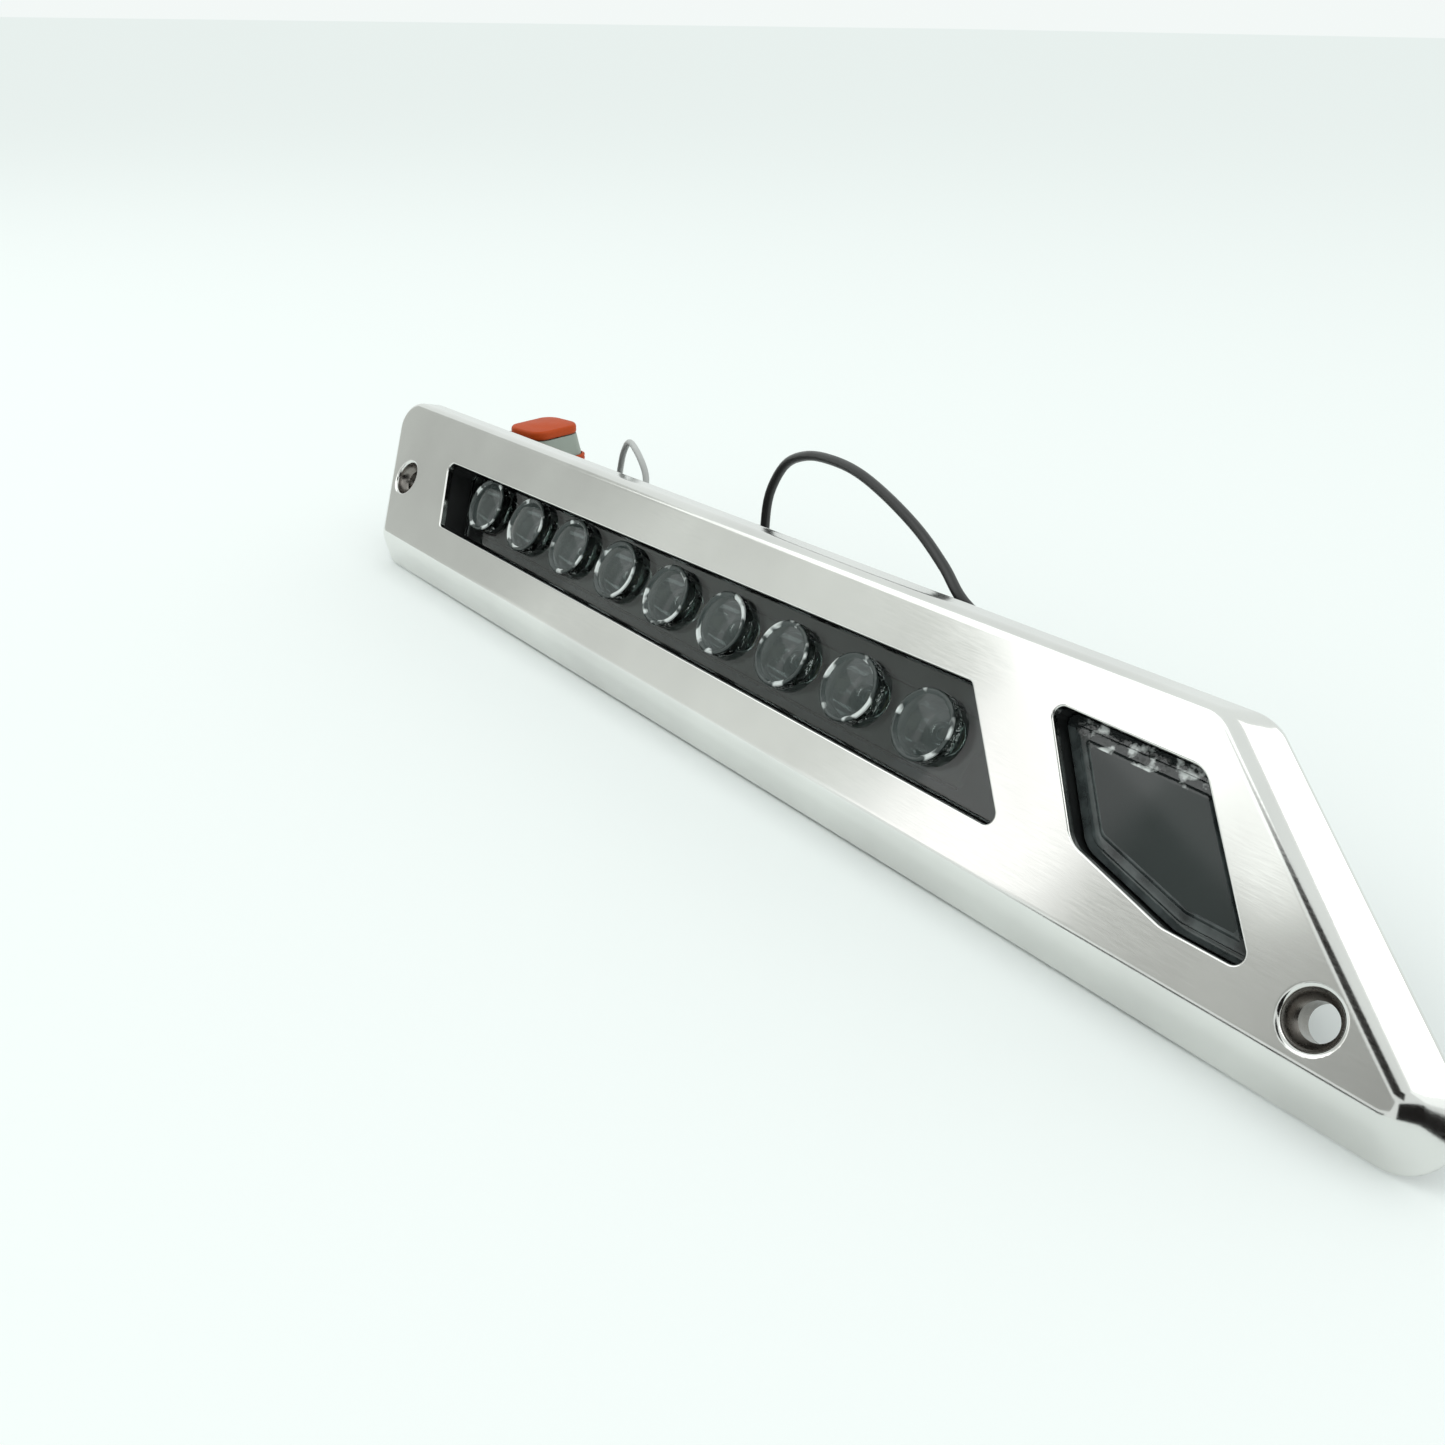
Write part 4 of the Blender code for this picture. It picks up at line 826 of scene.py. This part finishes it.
def finish_inside():
    """The pieces that keep their CAD shape."""
    finish_node("rear_housing", "housing_black", 0.3)
    finish_node("heat_sink", "sink_black", 0.2)
    finish_node("nav_cover", "housing_black", 0.3)
    finish_node("hull_gasket", "foam_black", 0.3)
    for name in ("dock_lens_gasket", "sink_seal", "nav_lens_gasket", "nav_cover_seal"):
        finish_node(name, "seal_black", 0.1)
    for name in ("dock_board", "nav_board"):
        finish_node(name, "board_dark", 0.1)
    finish_node("driver_chip", "chip_black", 0.1)
    finish_node("nav_screen", "screen_black", 0.1)
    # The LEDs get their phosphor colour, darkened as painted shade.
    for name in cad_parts:
        if name.startswith(("dock_led_", "nav_led_")):
            finish_node(name, "led_package", 0.12)


# ---------------------------------------------------------------- studio

FLOOR_SIZE = 60.0
FLOOR_DROP = 0.0003
SKY_COLOUR = (0.955, 1.0, 0.985)
SKY_STRENGTH = 0.94
LAMP_COLOUR = (0.97, 1.0, 0.99)

# Name, place, size and power of each area light
AREA_LIGHTS = (("key", (-0.5, -0.5, 0.9), 0.9, 2.0), ("fill", (0.7, 0.4, 0.8), 0.8, 0.8))

# Name, azimuth, elevation, distance, width, height, colour and strength of each tent panel
PANELS = (
    ("tent_left", -72, 16, 1.5, 0.78, 1.1, (0.95, 0.99, 0.95), 0.60),
    ("tent_middle", -50, 20, 1.5, 0.42, 0.8, (0.96, 1.0, 0.96), 0.80),
    ("tent_lamp", -35.5, 25, 1.45, 0.20, 0.8, (1.0, 1.0, 0.99), 1.4),
    ("tent_side", -24.5, 27, 1.43, 0.27, 0.7, (0.97, 1.0, 0.96), 0.56),
    ("tent_front", -5, 24, 1.4, 0.68, 0.5, (0.97, 1.0, 0.96), 0.44),
    ("tent_opening", 58, 16, 1.3, 1.45, 1.0, (0.4, 0.36, 0.35), 0.03),
    ("tent_seam", -12, 0, 1.2, 0.7, 0.24, (0.5, 0.45, 0.42), 0.04),
    ("tent_hoop", 18, 53, 1.3, 0.9, 0.42, (0.45, 0.42, 0.4), 0.05),
    ("tent_roof", 138, 52, 1.4, 0.9, 0.7, (1.0, 1.0, 0.99), 1.9))


def flat_sheet(name, width, height, level=0.0):
    """A flat rectangle about the origin, in metres."""
    build = bmesh.new()
    for x, y in ((-1, -1), (1, -1), (1, 1), (-1, 1)):
        build.verts.new((x * width / 2, y * height / 2, level))
    build.faces.new(build.verts)
    mesh = bpy.data.meshes.new(name)
    build.to_mesh(mesh)
    build.free()
    return mesh


def card(name, azimuth, elevation, distance, width, height, colour, strength):
    """A flat panel of the light tent, facing the light; azimuth from -Y towards +X."""
    turn, rise = math.radians(azimuth), math.radians(elevation)
    away = Vector((math.sin(turn) * math.cos(rise), -math.cos(turn) * math.cos(rise),
                   math.sin(rise)))
    mesh = flat_sheet(name, width, height)
    glow = bpy.data.materials.new(name)
    glow.use_nodes = True
    tree = glow.node_tree
    tree.nodes.clear()
    emit = tree.nodes.new("ShaderNodeEmission")
    emit.inputs["Color"].default_value = (*colour, 1.0)
    emit.inputs["Strength"].default_value = strength
    out = tree.nodes.new("ShaderNodeOutputMaterial")
    tree.links.new(emit.outputs["Emission"], out.inputs["Surface"])
    mesh.materials.append(glow)
    panel = bpy.data.objects.new(name, mesh)
    bpy.context.scene.collection.objects.link(panel)
    panel.location = away * distance
    panel.rotation_mode = "QUATERNION"
    panel.rotation_quaternion = away.to_track_quat("-Z", "Y")
    panel.visible_camera = False
    panel.visible_shadow = False
    panel.visible_diffuse = False


def make_studio():
    """Pale floor inside a bright tent, with the tent's opening on the camera's side."""
    mesh = flat_sheet("floor", FLOOR_SIZE, FLOOR_SIZE, -FLOOR_DROP)
    pale = Paint("floor_pale", (0.90, 0.93, 0.92), 0.6, Specular_IOR_Level=0.0)
    pale.vary_roughness(pale.noise(4.0), 0.55, 0.65)
    mesh.materials.append(pale.material)
    floor = bpy.data.objects.new("floor", mesh)
    bpy.context.scene.collection.objects.link(floor)

    world = bpy.data.worlds.new("tent")
    bpy.context.scene.world = world
    world.use_nodes = True
    sky = world.node_tree.nodes["Background"]
    sky.inputs["Color"].default_value = (*SKY_COLOUR, 1.0)
    sky.inputs["Strength"].default_value = SKY_STRENGTH
    for name, place, size, power in AREA_LIGHTS:
        light = bpy.data.lights.new(name, "AREA")
        light.size = size
        light.energy = power
        light.color = LAMP_COLOUR
        lamp = bpy.data.objects.new(name, light)
        bpy.context.scene.collection.objects.link(lamp)
        lamp.location = place
        lamp.rotation_mode = "QUATERNION"
        lamp.rotation_quaternion = Vector(place).to_track_quat("Z", "Y")
    bpy.context.scene.view_settings.view_transform = "Standard"
    for panel in PANELS:
        card(*panel)


# ---------------------------------------------------------------- scene

make_camera()
black_lead, black_exit, black_length = make_lead("black_lead", BLACK_ROUTE, BLACK_DIAMETER,
                                                 "jacket_black")
grey_lead, grey_exit, grey_length = make_lead("grey_lead", GREY_ROUTE, GREY_DIAMETER,
                                              "jacket_grey")
make_bezel()
make_dock_lens()
make_nav_lens()
plug_pieces = make_plug()
make_screws()
make_glands()
finish_inside()
make_studio()
